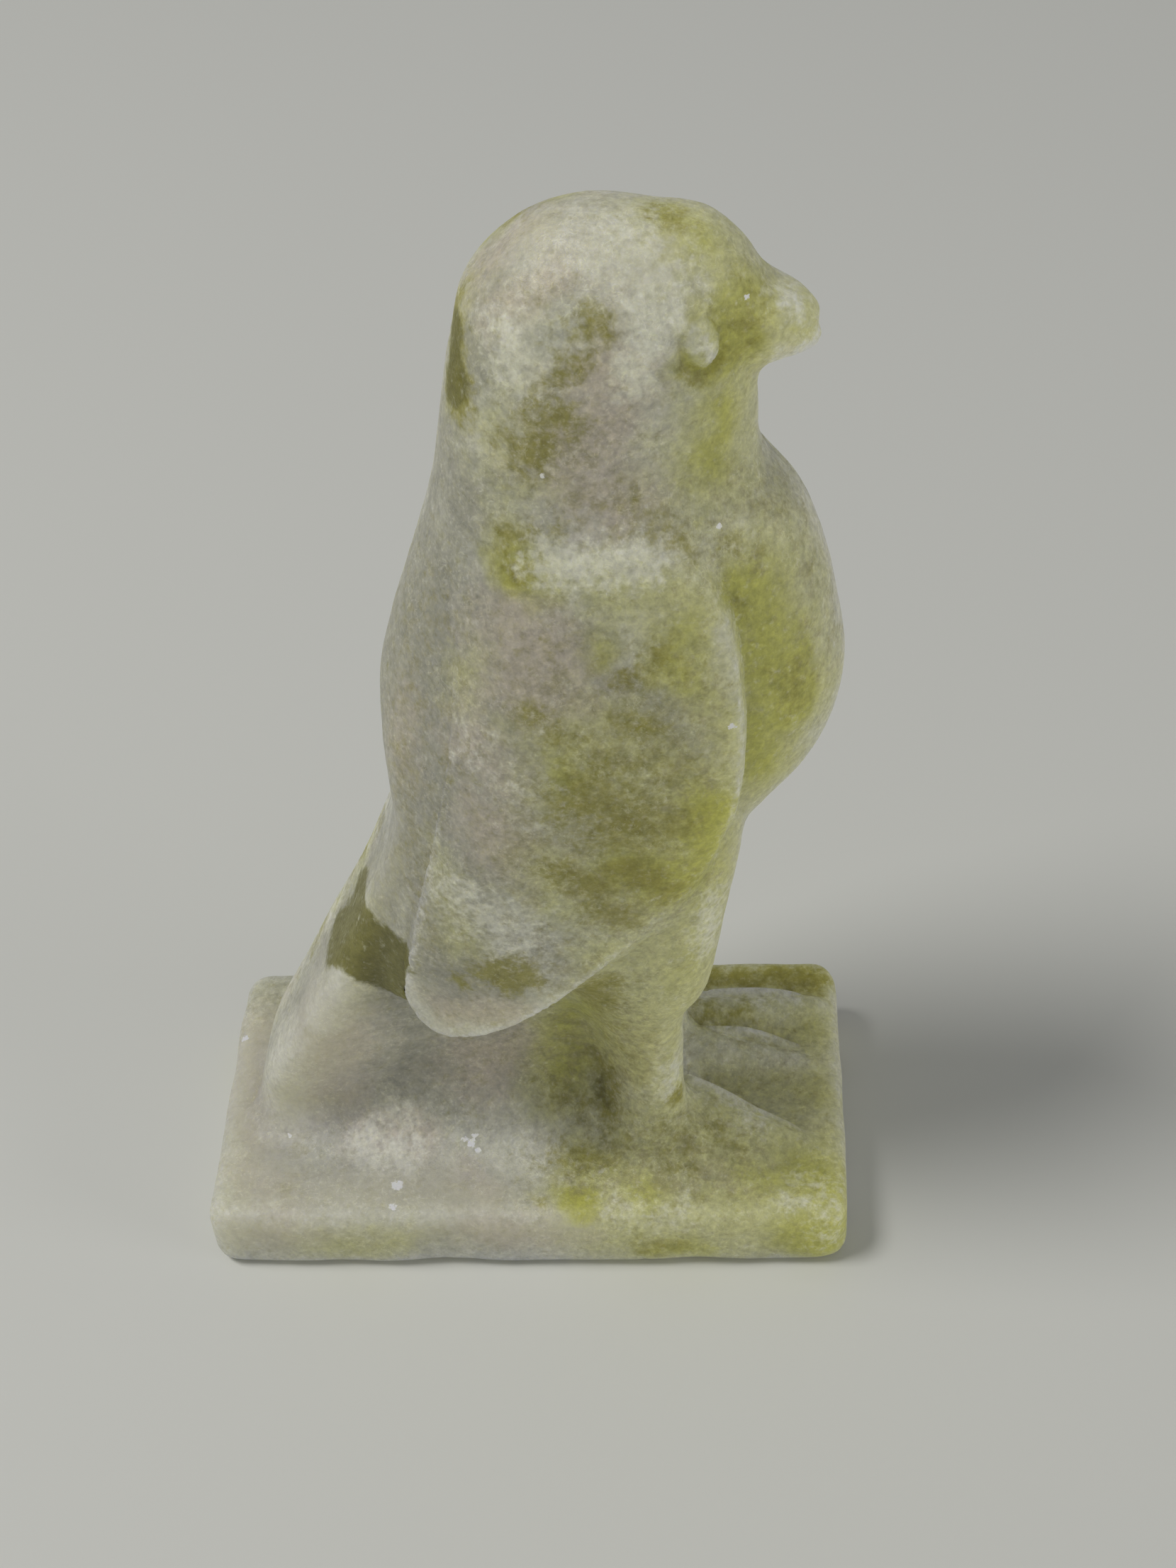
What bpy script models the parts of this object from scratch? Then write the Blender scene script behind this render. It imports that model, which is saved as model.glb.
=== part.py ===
# Small jade bird standing on a plinth, both carved from one piece of stone.
# The frame has +X the way the bird faces, +Y to its left and +Z up, with the origin at the middle of the
# underside.

import math

import bmesh
import bpy
from mathutils import Vector

mm = 0.001

# Driving dimensions
total_height = 60.0 * mm
plinth_length = 35.0 * mm
plinth_width = 18.6 * mm
plinth_height = 4.3 * mm
plinth_corner = 1.3 * mm
plinth_edge = 0.8 * mm
mouth_line_height = 0.3 * mm

# How finely the stone is worked
voxel = 0.25 * mm
hand_rubbing_passes = 4
wing_rim_passes = 12
hollow_passes = 20
face_passes = 10
ring_points = 56
section_steps = 4
dome_steps = 12
wing_outline_steps = 5
beak_steps = 3
toe_steps = 8
toe_tip_angles = (30, 60, 85)
corner_steps = 6
worn_edge_steps = 4
kept_facets = 0.050

# The bird's own form is drawn in shares of its height above the plinth, as percent.
bird_height = total_height - plinth_height
percent = bird_height / 100

# Body, neck and head, from the belly up: height, back, front, half width, and the share of the width lost at the
# front
body_sections = [
    (16.0, -5.0, 9.0, 1.4, 0.0),
    (19.0, -7.6, 12.6, 3.6, 0.0),
    (24.0, -9.6, 15.8, 6.2, 0.0),
    (30.0, -10.6, 18.0, 9.2, 0.0),
    (36.5, -10.4, 19.2, 11.3, 0.0),
    (40.5, -10.3, 21.0, 12.0, 0.04),
    (44.5, -10.6, 24.3, 12.3, 0.08),
    (50.0, -10.7, 28.2, 12.7, 0.10),
    (57.0, -10.2, 29.8, 12.8, 0.10),
    (64.0, -8.2, 28.9, 12.4, 0.10),
    (69.0, -6.5, 27.8, 11.9, 0.12),
    (73.4, -5.1, 26.3, 11.5, 0.15),
    (76.2, -4.3, 24.4, 11.2, 0.18),
    (78.2, -3.8, 22.9, 10.9, 0.22),
    (80.0, -3.5, 22.3, 10.7, 0.25),
    (83.0, -3.0, 22.2, 10.5, 0.27),
    (87.5, -2.2, 22.2, 10.2, 0.28),
    (91.0, -1.4, 22.8, 9.7, 0.28),
]
crown_centre = 11.8
crown_squareness = 2.35
crown_side_squareness = 2.1
body_squareness = 2.15

# Folded wing, drawn as a fuller body that only the wing's outline keeps
wing_sections = [
    (14.0, -16.0, 21.0, 11.6),
    (24.0, -14.0, 22.0, 12.8),
    (36.5, -11.6, 23.6, 13.9),
    (44.5, -10.4, 26.4, 14.4),
    (50.0, -9.8, 28.8, 14.5),
    (57.0, -9.0, 30.0, 14.3),
    (64.0, -7.0, 29.4, 13.6),
    (71.0, -4.6, 27.6, 12.3),
    (76.5, -3.2, 24.6, 11.0),
    (80.0, -2.6, 22.6, 10.0),
    (86.0, -1.8, 21.6, 9.4),
]
wing_squareness = 3.0
wing_root = 3.0
wing_reach = 40.0

# Side outline of the folded wing, from its shoulder round by the front edge and the tip
wing_outline = [
    (9.6, 79.4),
    (15.6, 76.4),
    (19.4, 70.8),
    (20.8, 62.0),
    (20.7, 53.6),
    (19.0, 45.4),
    (15.4, 39.0),
    (9.8, 32.4),
    (3.6, 25.6),
    (-2.4, 21.1),
    (-7.6, 20.5),
    (-10.4, 25.2),
    (-8.4, 36.6),
    (-5.4, 48.0),
    (-3.4, 60.0),
    (-1.8, 70.4),
    (2.8, 77.6),
]

# Stone left standing between the legs and the tail, hollowed from both sides
web_sections = [
    (-1.0, -28.6, 18.6, 16.8),
    (0.0, -27.0, 17.4, 12.4),
    (0.6, -26.0, 16.4, 9.6),
    (1.6, -24.8, 15.6, 7.4),
    (3.2, -23.4, 14.8, 5.6),
    (5.5, -21.6, 14.2, 4.4),
    (9.0, -19.4, 13.8, 3.8),
    (13.0, -17.6, 13.8, 4.1),
    (17.0, -15.8, 14.2, 5.1),
    (21.0, -14.2, 14.6, 6.6),
    (26.0, -12.6, 15.2, 8.4),
    (32.0, -10.6, 16.0, 9.6),
    (40.0, -7.0, 15.0, 8.0),
]
web_squareness = 3.0

# Tail, from the rump down to the plinth: height, back, front, half width at its back
tail_sections = [
    (44.0, -9.6, 5.0, 8.0),
    (36.3, -11.9, 3.0, 8.0),
    (28.7, -15.3, 0.0, 8.0),
    (22.6, -18.5, -2.0, 8.0),
    (14.7, -22.4, -5.0, 7.8),
    (9.5, -25.2, -7.0, 7.2),
    (4.5, -26.9, -9.0, 6.2),
    (0.0, -27.8, -10.0, 5.2),
    (-3.0, -28.0, -10.0, 5.0),
]
tail_squareness = 4.5
tail_narrowing = 0.56

# One leg from the thigh under the wing down to the ankle: height, back, front, centre outward, half width
leg_sections = [
    (48.0, 1.0, 21.8, 6.0, 5.0),
    (40.0, 1.6, 20.7, 6.4, 5.8),
    (34.0, 2.6, 19.7, 6.4, 5.6),
    (28.0, 4.0, 18.8, 6.2, 5.2),
    (23.4, 5.4, 18.0, 6.0, 4.8),
    (21.6, 6.0, 17.2, 5.9, 4.5),
    (19.8, 6.6, 16.0, 5.8, 4.1),
    (17.6, 7.2, 15.5, 5.7, 3.8),
    (12.0, 8.4, 15.4, 5.4, 3.3),
    (7.0, 8.6, 15.5, 5.4, 3.2),
    (4.0, 8.0, 15.9, 5.4, 3.6),
    (1.0, 6.6, 17.2, 5.4, 4.6),
    (-2.0, 5.4, 18.4, 5.4, 5.4),
]
leg_squareness = 2.3

# Toes: heel and tip as forward, left, height, then the radius at each
toes = {
    "right_inner_toe": ((13.6, -4.2, 1.6), (27.6, -8.0, -0.7), 3.6, 1.7),
    "right_outer_toe": ((12.4, -6.6, 0.8), (23.4, -12.6, -0.9), 3.4, 1.7),
    "left_inner_toe": ((13.6, 3.8, 1.2), (26.4, 3.2, -0.7), 3.5, 1.7),
    "left_outer_toe": ((12.4, 7.6, 1.0), (28.4, 10.2, -0.3), 3.2, 1.9),
}
toe_squareness = 1.5

# Beak, from inside the head to the blunt tip: forward, lowest, highest, half width
beak_sections = [
    (17.0, 86.6, 95.4, 4.8),
    (21.2, 86.8, 95.3, 4.1),
    (22.9, 87.1, 94.8, 3.7),
    (24.4, 87.5, 94.1, 3.1),
    (25.6, 87.8, 93.2, 2.4),
    (26.2, 88.4, 92.1, 1.7),
    (26.5, 89.3, 90.9, 0.8),
]
beak_squareness = 2.0
mouth_height = 89.7
mouth_back = 23.4
mouth_front = 30.0
mouth_half_width = 6.0

# Eye, a low upright oval boss standing in a hollow: forward, outward and height of its middle, then half the
# width, half the height and half the thickness of the boss and of the hollow
eye_middle = (17.7, 6.25, 91.4)
eye_boss = (1.5, 2.0, 0.6)
eye_hollow = (2.1, 2.7, 0.7)
eye_out = Vector((0.45, -0.87, 0.2)).normalized()


def clear_scene():
    for obj in list(bpy.data.objects):
        bpy.data.objects.remove(obj)


def carved_point(forward, left, height):
    """A point drawn in percent of the bird's height, in metres."""
    return Vector((forward * percent, left * percent, plinth_height + height * percent))


def smooth_rows(rows, steps):
    """Rows read from a Catmull-Rom curve through the given ones, steps to each stretch."""
    ends = [rows[0]] + list(rows) + [rows[-1]]
    found = []
    for a, b, c, d in zip(ends, ends[1:], ends[2:], ends[3:]):
        for i in range(steps):
            t = i / steps
            found.append(
                [
                    0.5 * (2 * q + (r - p) * t + (2 * p - 5 * q + 4 * r - s) * t**2 + (3 * q - p - 3 * r + s) * t**3)
                    for p, q, r, s in zip(a, b, c, d)
                ]
            )
    return found + [list(rows[-1])]


def superellipse(angle, squareness):
    """A point on a unit circle pressed towards a square."""
    c, s = math.cos(angle), math.sin(angle)
    power = 2 / squareness
    return math.copysign(abs(c) ** power, c), math.copysign(abs(s) ** power, s)


def turn(squareness):
    return [superellipse(2 * math.pi * i / ring_points, squareness) for i in range(ring_points)]


def helper(name, mesh):
    """An object that only shapes the carving."""
    obj = bpy.data.objects.new(name, mesh)
    bpy.context.scene.collection.objects.link(obj)
    obj.hide_render = True
    obj.display_type = "WIRE"
    return obj


def mesh_of(name, work):
    bmesh.ops.recalc_face_normals(work, faces=work.faces)
    mesh = bpy.data.meshes.new(name)
    work.to_mesh(mesh)
    work.free()
    return mesh


def loft(name, rings):
    """A closed skin over rings of points, its ends filled."""
    work = bmesh.new()
    loops = [[work.verts.new(p) for p in ring] for ring in rings]
    for low, high in zip(loops, loops[1:]):
        for i in range(len(low)):
            j = (i + 1) % len(low)
            work.faces.new((low[i], low[j], high[j], high[i]))
    work.faces.new(loops[0])
    work.faces.new(loops[-1])
    return helper(name, mesh_of(name, work))


def level_ring(squareness, height, back, front, half_width, narrowing=0.0, centre_left=0.0):
    """A level section through the stone, drawn in percent. narrowing is the share of the width lost at the front."""
    centre, half_depth = (back + front) / 2, (front - back) / 2
    return [
        carved_point(
            centre + half_depth * c,
            centre_left + half_width * s * (1 - narrowing * (1 + c) / 2),
            height,
        )
        for c, s in turn(squareness)
    ]


def level_rings(sections, squareness):
    return [level_ring(squareness, *row) for row in smooth_rows(sections, section_steps)]


def body_rings():
    """Sections up the body, closed over the crown by a dome."""
    rings = level_rings(body_sections, body_squareness)
    height, back, front, half_width, narrowing = body_sections[-1]
    centre = (back + front) / 2
    for step in range(1, dome_steps + 1):
        spread, lift = superellipse(math.radians(89) * step / dome_steps, crown_squareness)
        middle = centre + (crown_centre - centre) * lift
        reach = (front - back) / 2 * spread
        side = half_width * (1 - lift**crown_side_squareness) ** (1 / crown_side_squareness)
        level = height + (100 - height) * lift
        rings.append(level_ring(body_squareness, level, middle - reach, middle + reach, side, narrowing))
    return rings


def leg():
    rows = smooth_rows(leg_sections, section_steps)
    rings = [level_ring(leg_squareness, h, b, f, w, 0, -outward) for h, b, f, outward, w in rows]
    return mirrored(loft("leg", rings))


def mirrored(obj):
    """The same form on the bird's other side as well."""
    mirror = obj.modifiers.new("other side", "MIRROR")
    mirror.use_axis = (False, True, False)
    mirror.merge_threshold = 0.00001
    return obj


def pressed_ball(name, halves):
    """A ball pressed flat against each side of the head, at the eye."""
    forward, outward, height = eye_middle
    work = bmesh.new()
    bmesh.ops.create_icosphere(work, subdivisions=3, radius=1)
    turned = eye_out.to_track_quat("Z", "Y").to_matrix()
    for v in work.verts:
        shaped = Vector(size * percent * along for size, along in zip(halves, v.co))
        v.co = carved_point(forward, -outward, height) + turned @ shaped
    return mirrored(helper(name, mesh_of(name, work)))


def rounded(obj, passes):
    """Rubs the edges of one form round before it joins the rest."""
    remesh = obj.modifiers.new("even grain", "REMESH")
    remesh.mode = "VOXEL"
    remesh.voxel_size = voxel
    smooth = obj.modifiers.new("rubbed", "SMOOTH")
    smooth.factor = 0.5
    smooth.iterations = passes
    return obj


def wing():
    """The fuller body, kept only inside the wing's side outline."""
    obj = loft("wing", level_rings(wing_sections, wing_squareness))
    steps = wing_outline_steps
    once_round = wing_outline[-1:] + wing_outline + wing_outline[:2]
    curve = smooth_rows(once_round, steps)[steps : -2 * steps]
    outline = [[carved_point(x, -left, z) for x, z in curve] for left in (wing_root, wing_reach)]
    cutter = loft("wing_outline", outline)
    keep = obj.modifiers.new("outline", "BOOLEAN")
    keep.operation = "INTERSECT"
    keep.object = cutter
    return mirrored(rounded(obj, wing_rim_passes))


def tail():
    rows = [row + (tail_narrowing,) for row in tail_sections]
    return loft("tail", level_rings(rows, tail_squareness))


def toe(name, heel, tip, heel_radius, tip_radius):
    """A tapered finger of stone with a blunt ridge along it."""
    start, end = carved_point(*heel), carved_point(*tip)
    along = (end - start).normalized()
    side = along.cross(Vector((0, 0, 1))).normalized()
    up = side.cross(along)
    rings = []
    for step in range(toe_steps + 1):
        share = step / toe_steps
        radius = (heel_radius + (tip_radius - heel_radius) * share) * percent
        rings.append([start.lerp(end, share) + (side * c + up * s) * radius for c, s in turn(toe_squareness)])
    for angle in toe_tip_angles:
        radius = tip_radius * math.cos(math.radians(angle)) * percent
        ahead = end + along * tip_radius * math.sin(math.radians(angle)) * percent
        rings.append([ahead + (side * c + up * s) * radius for c, s in turn(toe_squareness)])
    return loft(name, rings)


def beak():
    rings = []
    for x, low, high, half_width in smooth_rows(beak_sections, beak_steps):
        middle, half_height = (low + high) / 2, (high - low) / 2
        rings.append(
            [carved_point(x, half_width * c, middle + half_height * s) for c, s in turn(beak_squareness)]
        )
    return loft("beak", rings)


def body():
    """Body, neck and head, with the beak growing softly out of the face."""
    obj = loft("body", body_rings())
    join(obj, "UNION", group("face_parts", [beak()]))
    return rounded(obj, face_passes)


def block(name, low, high):
    work = bmesh.new()
    bmesh.ops.create_cube(work, size=1)
    size = Vector(high) - Vector(low)
    for v in work.verts:
        v.co = Vector(low) + Vector((v.co[i] + 0.5) * size[i] for i in range(3))
    return helper(name, mesh_of(name, work))


def mouth_line():
    """A thin saw cut into the beak's tip and sides."""
    gap = mouth_line_height / 2
    middle = carved_point(0, 0, mouth_height).z
    low = Vector((mouth_back * percent, -mouth_half_width * percent, middle - gap))
    high = Vector((mouth_front * percent, mouth_half_width * percent, middle + gap))
    return block("mouth_line", low, high)


def plinth():
    """A slab with round corners and worn edges."""
    half_length, half_width = plinth_length / 2, plinth_width / 2
    reach_x, reach_y = half_length - plinth_corner, half_width - plinth_corner
    outline = []
    for quarter, (sx, sy) in enumerate(((1, 1), (-1, 1), (-1, -1), (1, -1))):
        for i in range(corner_steps + 1):
            angle = math.pi / 2 * (quarter + i / corner_steps)
            outline.append(
                (
                    sx * reach_x + plinth_corner * math.cos(angle),
                    sy * reach_y + plinth_corner * math.sin(angle),
                )
            )
    work = bmesh.new()
    floor = work.faces.new([work.verts.new((x, y, 0)) for x, y in outline])
    raised = bmesh.ops.extrude_face_region(work, geom=[floor])["geom"]
    bmesh.ops.translate(
        work, vec=(0, 0, plinth_height), verts=[g for g in raised if isinstance(g, bmesh.types.BMVert)]
    )
    bmesh.ops.recalc_face_normals(work, faces=work.faces)
    rims = [e for e in work.edges if abs(e.verts[0].co.z - e.verts[1].co.z) < plinth_height / 2]
    bmesh.ops.bevel(
        work,
        geom=rims,
        offset=plinth_edge,
        offset_type="OFFSET",
        segments=worn_edge_steps,
        profile=0.5,
        affect="EDGES",
    )
    return mesh_of("bird_carving", work)


def stone():
    material = bpy.data.materials.new("green_white_jade")
    material.use_nodes = True
    shader = material.node_tree.nodes["Principled BSDF"]
    shader.inputs["Base Color"].default_value = (0.47, 0.46, 0.36, 1)
    shader.inputs["Roughness"].default_value = 0.42
    shader.inputs["Metallic"].default_value = 0.0
    return material


def group(name, shapes):
    """Shapes that one Boolean works with together."""
    collection = bpy.data.collections.new(name)
    bpy.context.scene.collection.children.link(collection)
    for obj in shapes:
        collection.objects.link(obj)
    return collection


def join(obj, operation, collection):
    boolean = obj.modifiers.new(collection.name, "BOOLEAN")
    boolean.operation = operation
    boolean.operand_type = "COLLECTION"
    boolean.collection = collection


def stand():
    """Legs and tail with the stone left between them, their meetings rubbed to soft hollows."""
    obj = loft("stand", level_rings(web_sections, web_squareness))
    join(obj, "UNION", group("stand_parts", [leg(), tail()]))
    return rounded(obj, hollow_passes)


def carving():
    """Joins every form to the plinth, then works the whole stone over."""
    feet = [toe(name, *sizes) for name, sizes in toes.items()]
    forms = group("forms", [body(), wing(), stand()] + feet)
    cuts = group("cuts", [mouth_line(), pressed_ball("eye_hollow", eye_hollow)])
    eyes = group("eyes", [pressed_ball("eye_boss", eye_boss)])

    carved = bpy.data.objects.new("bird_carving", plinth())
    bpy.context.scene.collection.objects.link(carved)
    carved.data.materials.append(stone())
    join(carved, "UNION", forms)
    join(carved, "DIFFERENCE", cuts)
    join(carved, "UNION", eyes)
    rounded(carved, hand_rubbing_passes)
    thin = carved.modifiers.new("fewer facets", "DECIMATE")
    thin.ratio = kept_facets


clear_scene()
carving()
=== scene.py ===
import math

import bmesh
import bpy
import numpy as np
from mathutils import Matrix, Vector, noise


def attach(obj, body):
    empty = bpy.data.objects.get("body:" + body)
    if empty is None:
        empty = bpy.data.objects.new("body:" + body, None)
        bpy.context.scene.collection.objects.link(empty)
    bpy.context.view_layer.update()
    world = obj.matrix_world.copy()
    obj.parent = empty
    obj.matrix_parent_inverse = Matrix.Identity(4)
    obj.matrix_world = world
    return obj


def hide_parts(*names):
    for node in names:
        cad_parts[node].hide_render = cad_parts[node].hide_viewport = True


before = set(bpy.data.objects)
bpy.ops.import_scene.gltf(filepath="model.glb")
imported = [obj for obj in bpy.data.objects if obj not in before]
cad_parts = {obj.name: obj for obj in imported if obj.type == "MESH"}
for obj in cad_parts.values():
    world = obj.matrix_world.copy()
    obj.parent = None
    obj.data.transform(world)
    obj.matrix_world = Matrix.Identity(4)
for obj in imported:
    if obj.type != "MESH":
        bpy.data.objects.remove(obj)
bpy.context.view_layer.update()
mm = 0.001
print("frame loaded")


# helpers

def wire(tree, node, inputs):
    count = len(tree.nodes)
    node.location = (count // 6 * 240, -(count % 6) * 230)  # a plain grid, so the tree opens readable
    for key, value in inputs.items():
        if isinstance(value, bpy.types.NodeSocket):
            tree.links.new(value, node.inputs[key])
        else:
            node.inputs[key].default_value = value
    return node


def addNode(tree, kind, inputs=None, **settings):
    node = tree.nodes.new(kind)
    for name, value in settings.items():
        setattr(node, name, value)
    return wire(tree, node, inputs or {})


def calc(tree, operation, a, b=0.0, clamp=False):
    return addNode(tree, "ShaderNodeMath", {0: a, 1: b}, operation=operation, use_clamp=clamp).outputs[0]


def times(tree, a, b):
    return calc(tree, "MULTIPLY", a, b)


def tint(tree, amount, under, over, mode="MIX"):
    node = addNode(tree, "ShaderNodeMix", {0: amount, 6: under, 7: over}, data_type="RGBA", blend_type=mode)
    return node.outputs[2]


def vectorCalc(tree, operation, a, b):
    node = addNode(tree, "ShaderNodeVectorMath", {0: a, 1: b}, operation=operation)
    return node.outputs["Value" if operation == "DISTANCE" else "Vector"]


def cloudIn(tree, place, scale, detail, roughness, twist=0.0):
    values = {"Vector": place, "Scale": scale, "Detail": detail, "Roughness": roughness, "Distortion": twist}
    return addNode(tree, "ShaderNodeTexNoise", values).outputs["Fac"]


def fromTo(tree, value, low, high, smooth=True, to=(0.0, 1.0)):  # low and high become the two values of to
    values = {"Value": value, "From Min": low, "From Max": high, "To Min": to[0], "To Max": to[1]}
    kind = "SMOOTHSTEP" if smooth else "LINEAR"
    return addNode(tree, "ShaderNodeMapRange", values, interpolation_type=kind).outputs[0]


def addObject(name, data):
    obj = bpy.data.objects.new(name, data)
    bpy.context.scene.collection.objects.link(obj)
    return obj


def readVertices(mesh, kind):
    flat = np.empty(len(mesh.vertices) * 3)
    mesh.vertices.foreach_get(kind, flat)
    return flat.reshape(-1, 3)


def readPoints(mesh):
    return readVertices(mesh, "co") / mm


def writePoints(mesh, points):
    mesh.vertices.foreach_set("co", (points * mm).ravel())
    mesh.update()


def fade(value, low, high):  # 0 below low, 1 above high, smooth between
    t = np.clip((value - low) / (high - low), 0, 1)
    return t * t * (3 - 2 * t)


# the stone: a copy of the solid, worked over in mm

stone = {
    "meshSize": 0.34,
    "facetPasses": 10,
    "edgeAngle": (14, 34),  # degrees between neighbours where a worked edge begins and where it is kept whole
    "rubPasses": 3,
}

# edges that were rubbed away: the line in mm, its reach, how many passes, and whether both sides have it
rubbed = {
    "wingBack": (
        ((2.6, -6.3, 48.0), (-1.0, -6.5, 43.5), (-2.0, -6.9, 37.7), (-3.0, -6.9, 31.5)), 3.4, 160, True
    ),
    "wingBackLow": (((-3.0, -6.8, 31.5), (-4.6, -6.0, 25.0)), 2.0, 40, True),
    "shoulder": (((1.6, -6.0, 48.2), (5.4, -6.2, 49.2), (8.9, -5.8, 47.6)), 2.2, 60, True),
    "shankBack": (((4.6, -5.6, 19.0), (4.8, -4.6, 13.0), (4.2, -3.6, 7.5)), 3.0, 120, True),
    "nearFoot": (((8.0, -3.6, 6.2), (12.6, -5.8, 4.6)), 2.2, 60, False),
    "eye": (((10.0, -3.6, 55.7), (10.0, -3.6, 55.6)), 2.6, 60, True),
    "thigh": (((10.4, -7.4, 30.6), (7.4, -7.2, 25.2)), 1.8, 40, True),
    "tailFoot": (((-15.2, -2.6, 6.4), (-15.0, -2.4, 4.6), (-12.0, -3.0, 5.2)), 1.8, 60, True),
}


def stoneCopy():
    work = bmesh.new()
    work.from_mesh(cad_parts["bird_carving"].data)
    bmesh.ops.remove_doubles(work, verts=work.verts, dist=0.001 * mm)
    mesh = bpy.data.meshes.new("jade_bird")
    work.to_mesh(mesh)
    work.free()
    obj = addObject("jade_bird", mesh)
    remesh = obj.modifiers.new("even mesh", "REMESH")
    remesh.mode = "VOXEL"
    remesh.voxel_size = stone["meshSize"] * mm
    flatten(obj)
    return obj


def flatten(obj):  # its modifiers become plain mesh
    graph = bpy.context.evaluated_depsgraph_get()
    mesh = bpy.data.meshes.new_from_object(obj.evaluated_get(graph))
    obj.modifiers.clear()
    obj.data = mesh
    mesh.name = obj.name


def readEdges(mesh):
    flat = np.empty(len(mesh.edges) * 2, int)
    mesh.edges.foreach_get("vertices", flat)
    return flat.reshape(-1, 2)


def neighbourMean(values, edges, degree):
    total = np.zeros_like(values)
    for axis in range(3):
        for here, there in ((0, 1), (1, 0)):
            total[:, axis] += np.bincount(edges[:, here], values[edges[:, there], axis], len(values))
    return total / degree[:, None]


def rub(points, edges, weight, passes, back=-0.52):  # evens the surface; back, if not 0, keeps its size
    touched = weight > 0.001
    near = touched[edges].any(axis=1)
    kept, edges = np.unique(edges[near], return_inverse=True)
    edges = edges.reshape(-1, 2)
    part, share = points[kept], weight[kept][:, None]
    degree = np.bincount(edges.ravel(), minlength=len(kept)).astype(float)
    for _ in range(passes):
        for pull in (0.5, back) if back else (0.5,):
            part = part + pull * share * (neighbourMean(part, edges, degree) - part)
    points[kept] = part


def smoothFacets(mesh):  # facets go, worked edges stay
    edges, points = readEdges(mesh), readPoints(mesh)
    rub(points, edges, np.ones(len(points)), 2)
    writePoints(mesh, points)
    normals = readVertices(mesh, "normal")
    turn = np.degrees(np.arccos(np.clip((normals[edges[:, 0]] * normals[edges[:, 1]]).sum(1), -1, 1)))
    sharpest = np.zeros(len(points))
    np.maximum.at(sharpest, edges[:, 0], turn)
    np.maximum.at(sharpest, edges[:, 1], turn)
    rub(points, edges, 1 - fade(sharpest, *stone["edgeAngle"]), stone["facetPasses"])
    for line, reach, passes, both in rubbed.values():
        for side in (1, -1)[: 1 + both]:
            away, _ = toLine(points, np.array(line) * (1, side, 1))
            rub(points, edges, 1 - fade(away, 0.3 * reach, reach), passes, 0)
    writePoints(mesh, points)


# folded wing, in mm; its edge is rows of x, z and how crisply it is cut there

wing = {
    "edge": [
        (5.3, 48.6, 0.0), (8.7, 47.2, 0.0), (10.3, 45.4, 0.25), (11.3, 42.1, 0.8), (11.6, 38.8, 1.0),
        (11.6, 35.6, 1.0), (11.1, 32.2, 0.8), (9.9, 28.8, 0.3), (8.2, 26.2, 0.3), (5.5, 23.3, 0.7),
        (3.0, 20.3, 1.0), (0.3, 17.8, 1.0), (-2.6, 16.0, 0.9), (-4.5, 15.9, 0.9), (-5.6, 17.3, 0.9),
        (-5.2, 20.5, 0.9), (-4.4, 24.4, 0.9), (-3.2, 29.4, 0.9), (-1.9, 35.9, 0.55), (-1.1, 42.0, 0.1),
        (1.5, 47.2, 0.0),
    ],
    "lip": 0.07,
    "lipWidth": 0.35,
    "lipEnd": 0.06,  # how far outside the line the lip turns into the crease
    "crease": 0.20,
    "creaseWidth": 0.45,
    "cutFrom": ((3.6, 4.6), (13.5, 15.0)),  # where the cut begins, outwards and upwards
    "paintedLipHighlight": (0.3, 0.12, 0.22),  # painted highlight along the edge, in the milky colour: strength, how far inside the line, width
    "edgeWide": 5.75,  # how far out its rear edge stands at the tip
    "tipHeight": 18,
    "widening": 0.06,  # how much further out the edge is for each mm up
    "step": 0.40,  # from its edge down to the body behind
    "fall": 1.05,  # how fast the body falls away from there
    "blend": 0.25,  # how softly the body's own form takes over
}

# where the body is brought up behind the wing's rear edge: in mm, where this sets in and where it is full
behindWing = {
    "atEdge": (-0.15, 0.15),
    "behind": (3.6, 2.4),
    "forward": (1.0, -1.5),
    "bottom": (14.2, 17.4),
    "top": (39, 31),
    "outwards": (1.3, 3.2),
}

eye = {
    "centre": (10.02, -3.58, 55.72),
    "outward": (0.47, -0.87, 0.14),
    "halfWide": 0.80,
    "halfTall": 1.14,
    "rise": 0.29,
    "hollow": 0.22,
    "hollowAt": 1.22,  # where the hollow is deepest, in eye radii
    "hollowWidth": 0.26,
    "shallow": 0.35,  # share of the hollow's depth at the upper back
}

mouth = {
    "line": (
        (13.1, -1.8, 55.2), (13.7, -1.6, 55.05), (14.2, -1.2, 54.75), (14.5, -0.6, 54.45), (14.6, 0, 54.3)
    ),
    "depth": 0.20,
    "width": 0.20,
    "runIn": 6,  # it deepens over this many of its 16 short runs
}

# ridged toes: slope towards the near side, slope on the far side, and the crest line from heel to tip
toes = {
    "near": (0.30, 2.2, (
        (8.8, -1.2, 6.75), (10.4, -1.8, 6.40), (12.4, -2.6, 5.65), (14.2, -3.2, 5.05), (14.9, -3.5, 4.75),
        (15.8, -4.0, 4.35),
    )),
    "farOuter": (0.50, 1.8, (
        (9.0, 6.0, 5.62), (11.0, 6.1, 5.70), (13.4, 6.2, 5.60), (15.2, 6.2, 5.15), (16.0, 6.1, 4.4)
    )),
    "farInner": (0.48, 1.3, (
        (9.2, 3.0, 5.95), (11.9, 3.1, 5.75), (13.3, 3.0, 5.30), (14.6, 2.9, 4.70), (15.4, 2.8, 4.25)
    )),
}
toeRoom = (3.9, 7.5)  # the heights between which the toes are worked
heelBlend = 2.5  # how far behind the heel the far slope sets in


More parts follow.
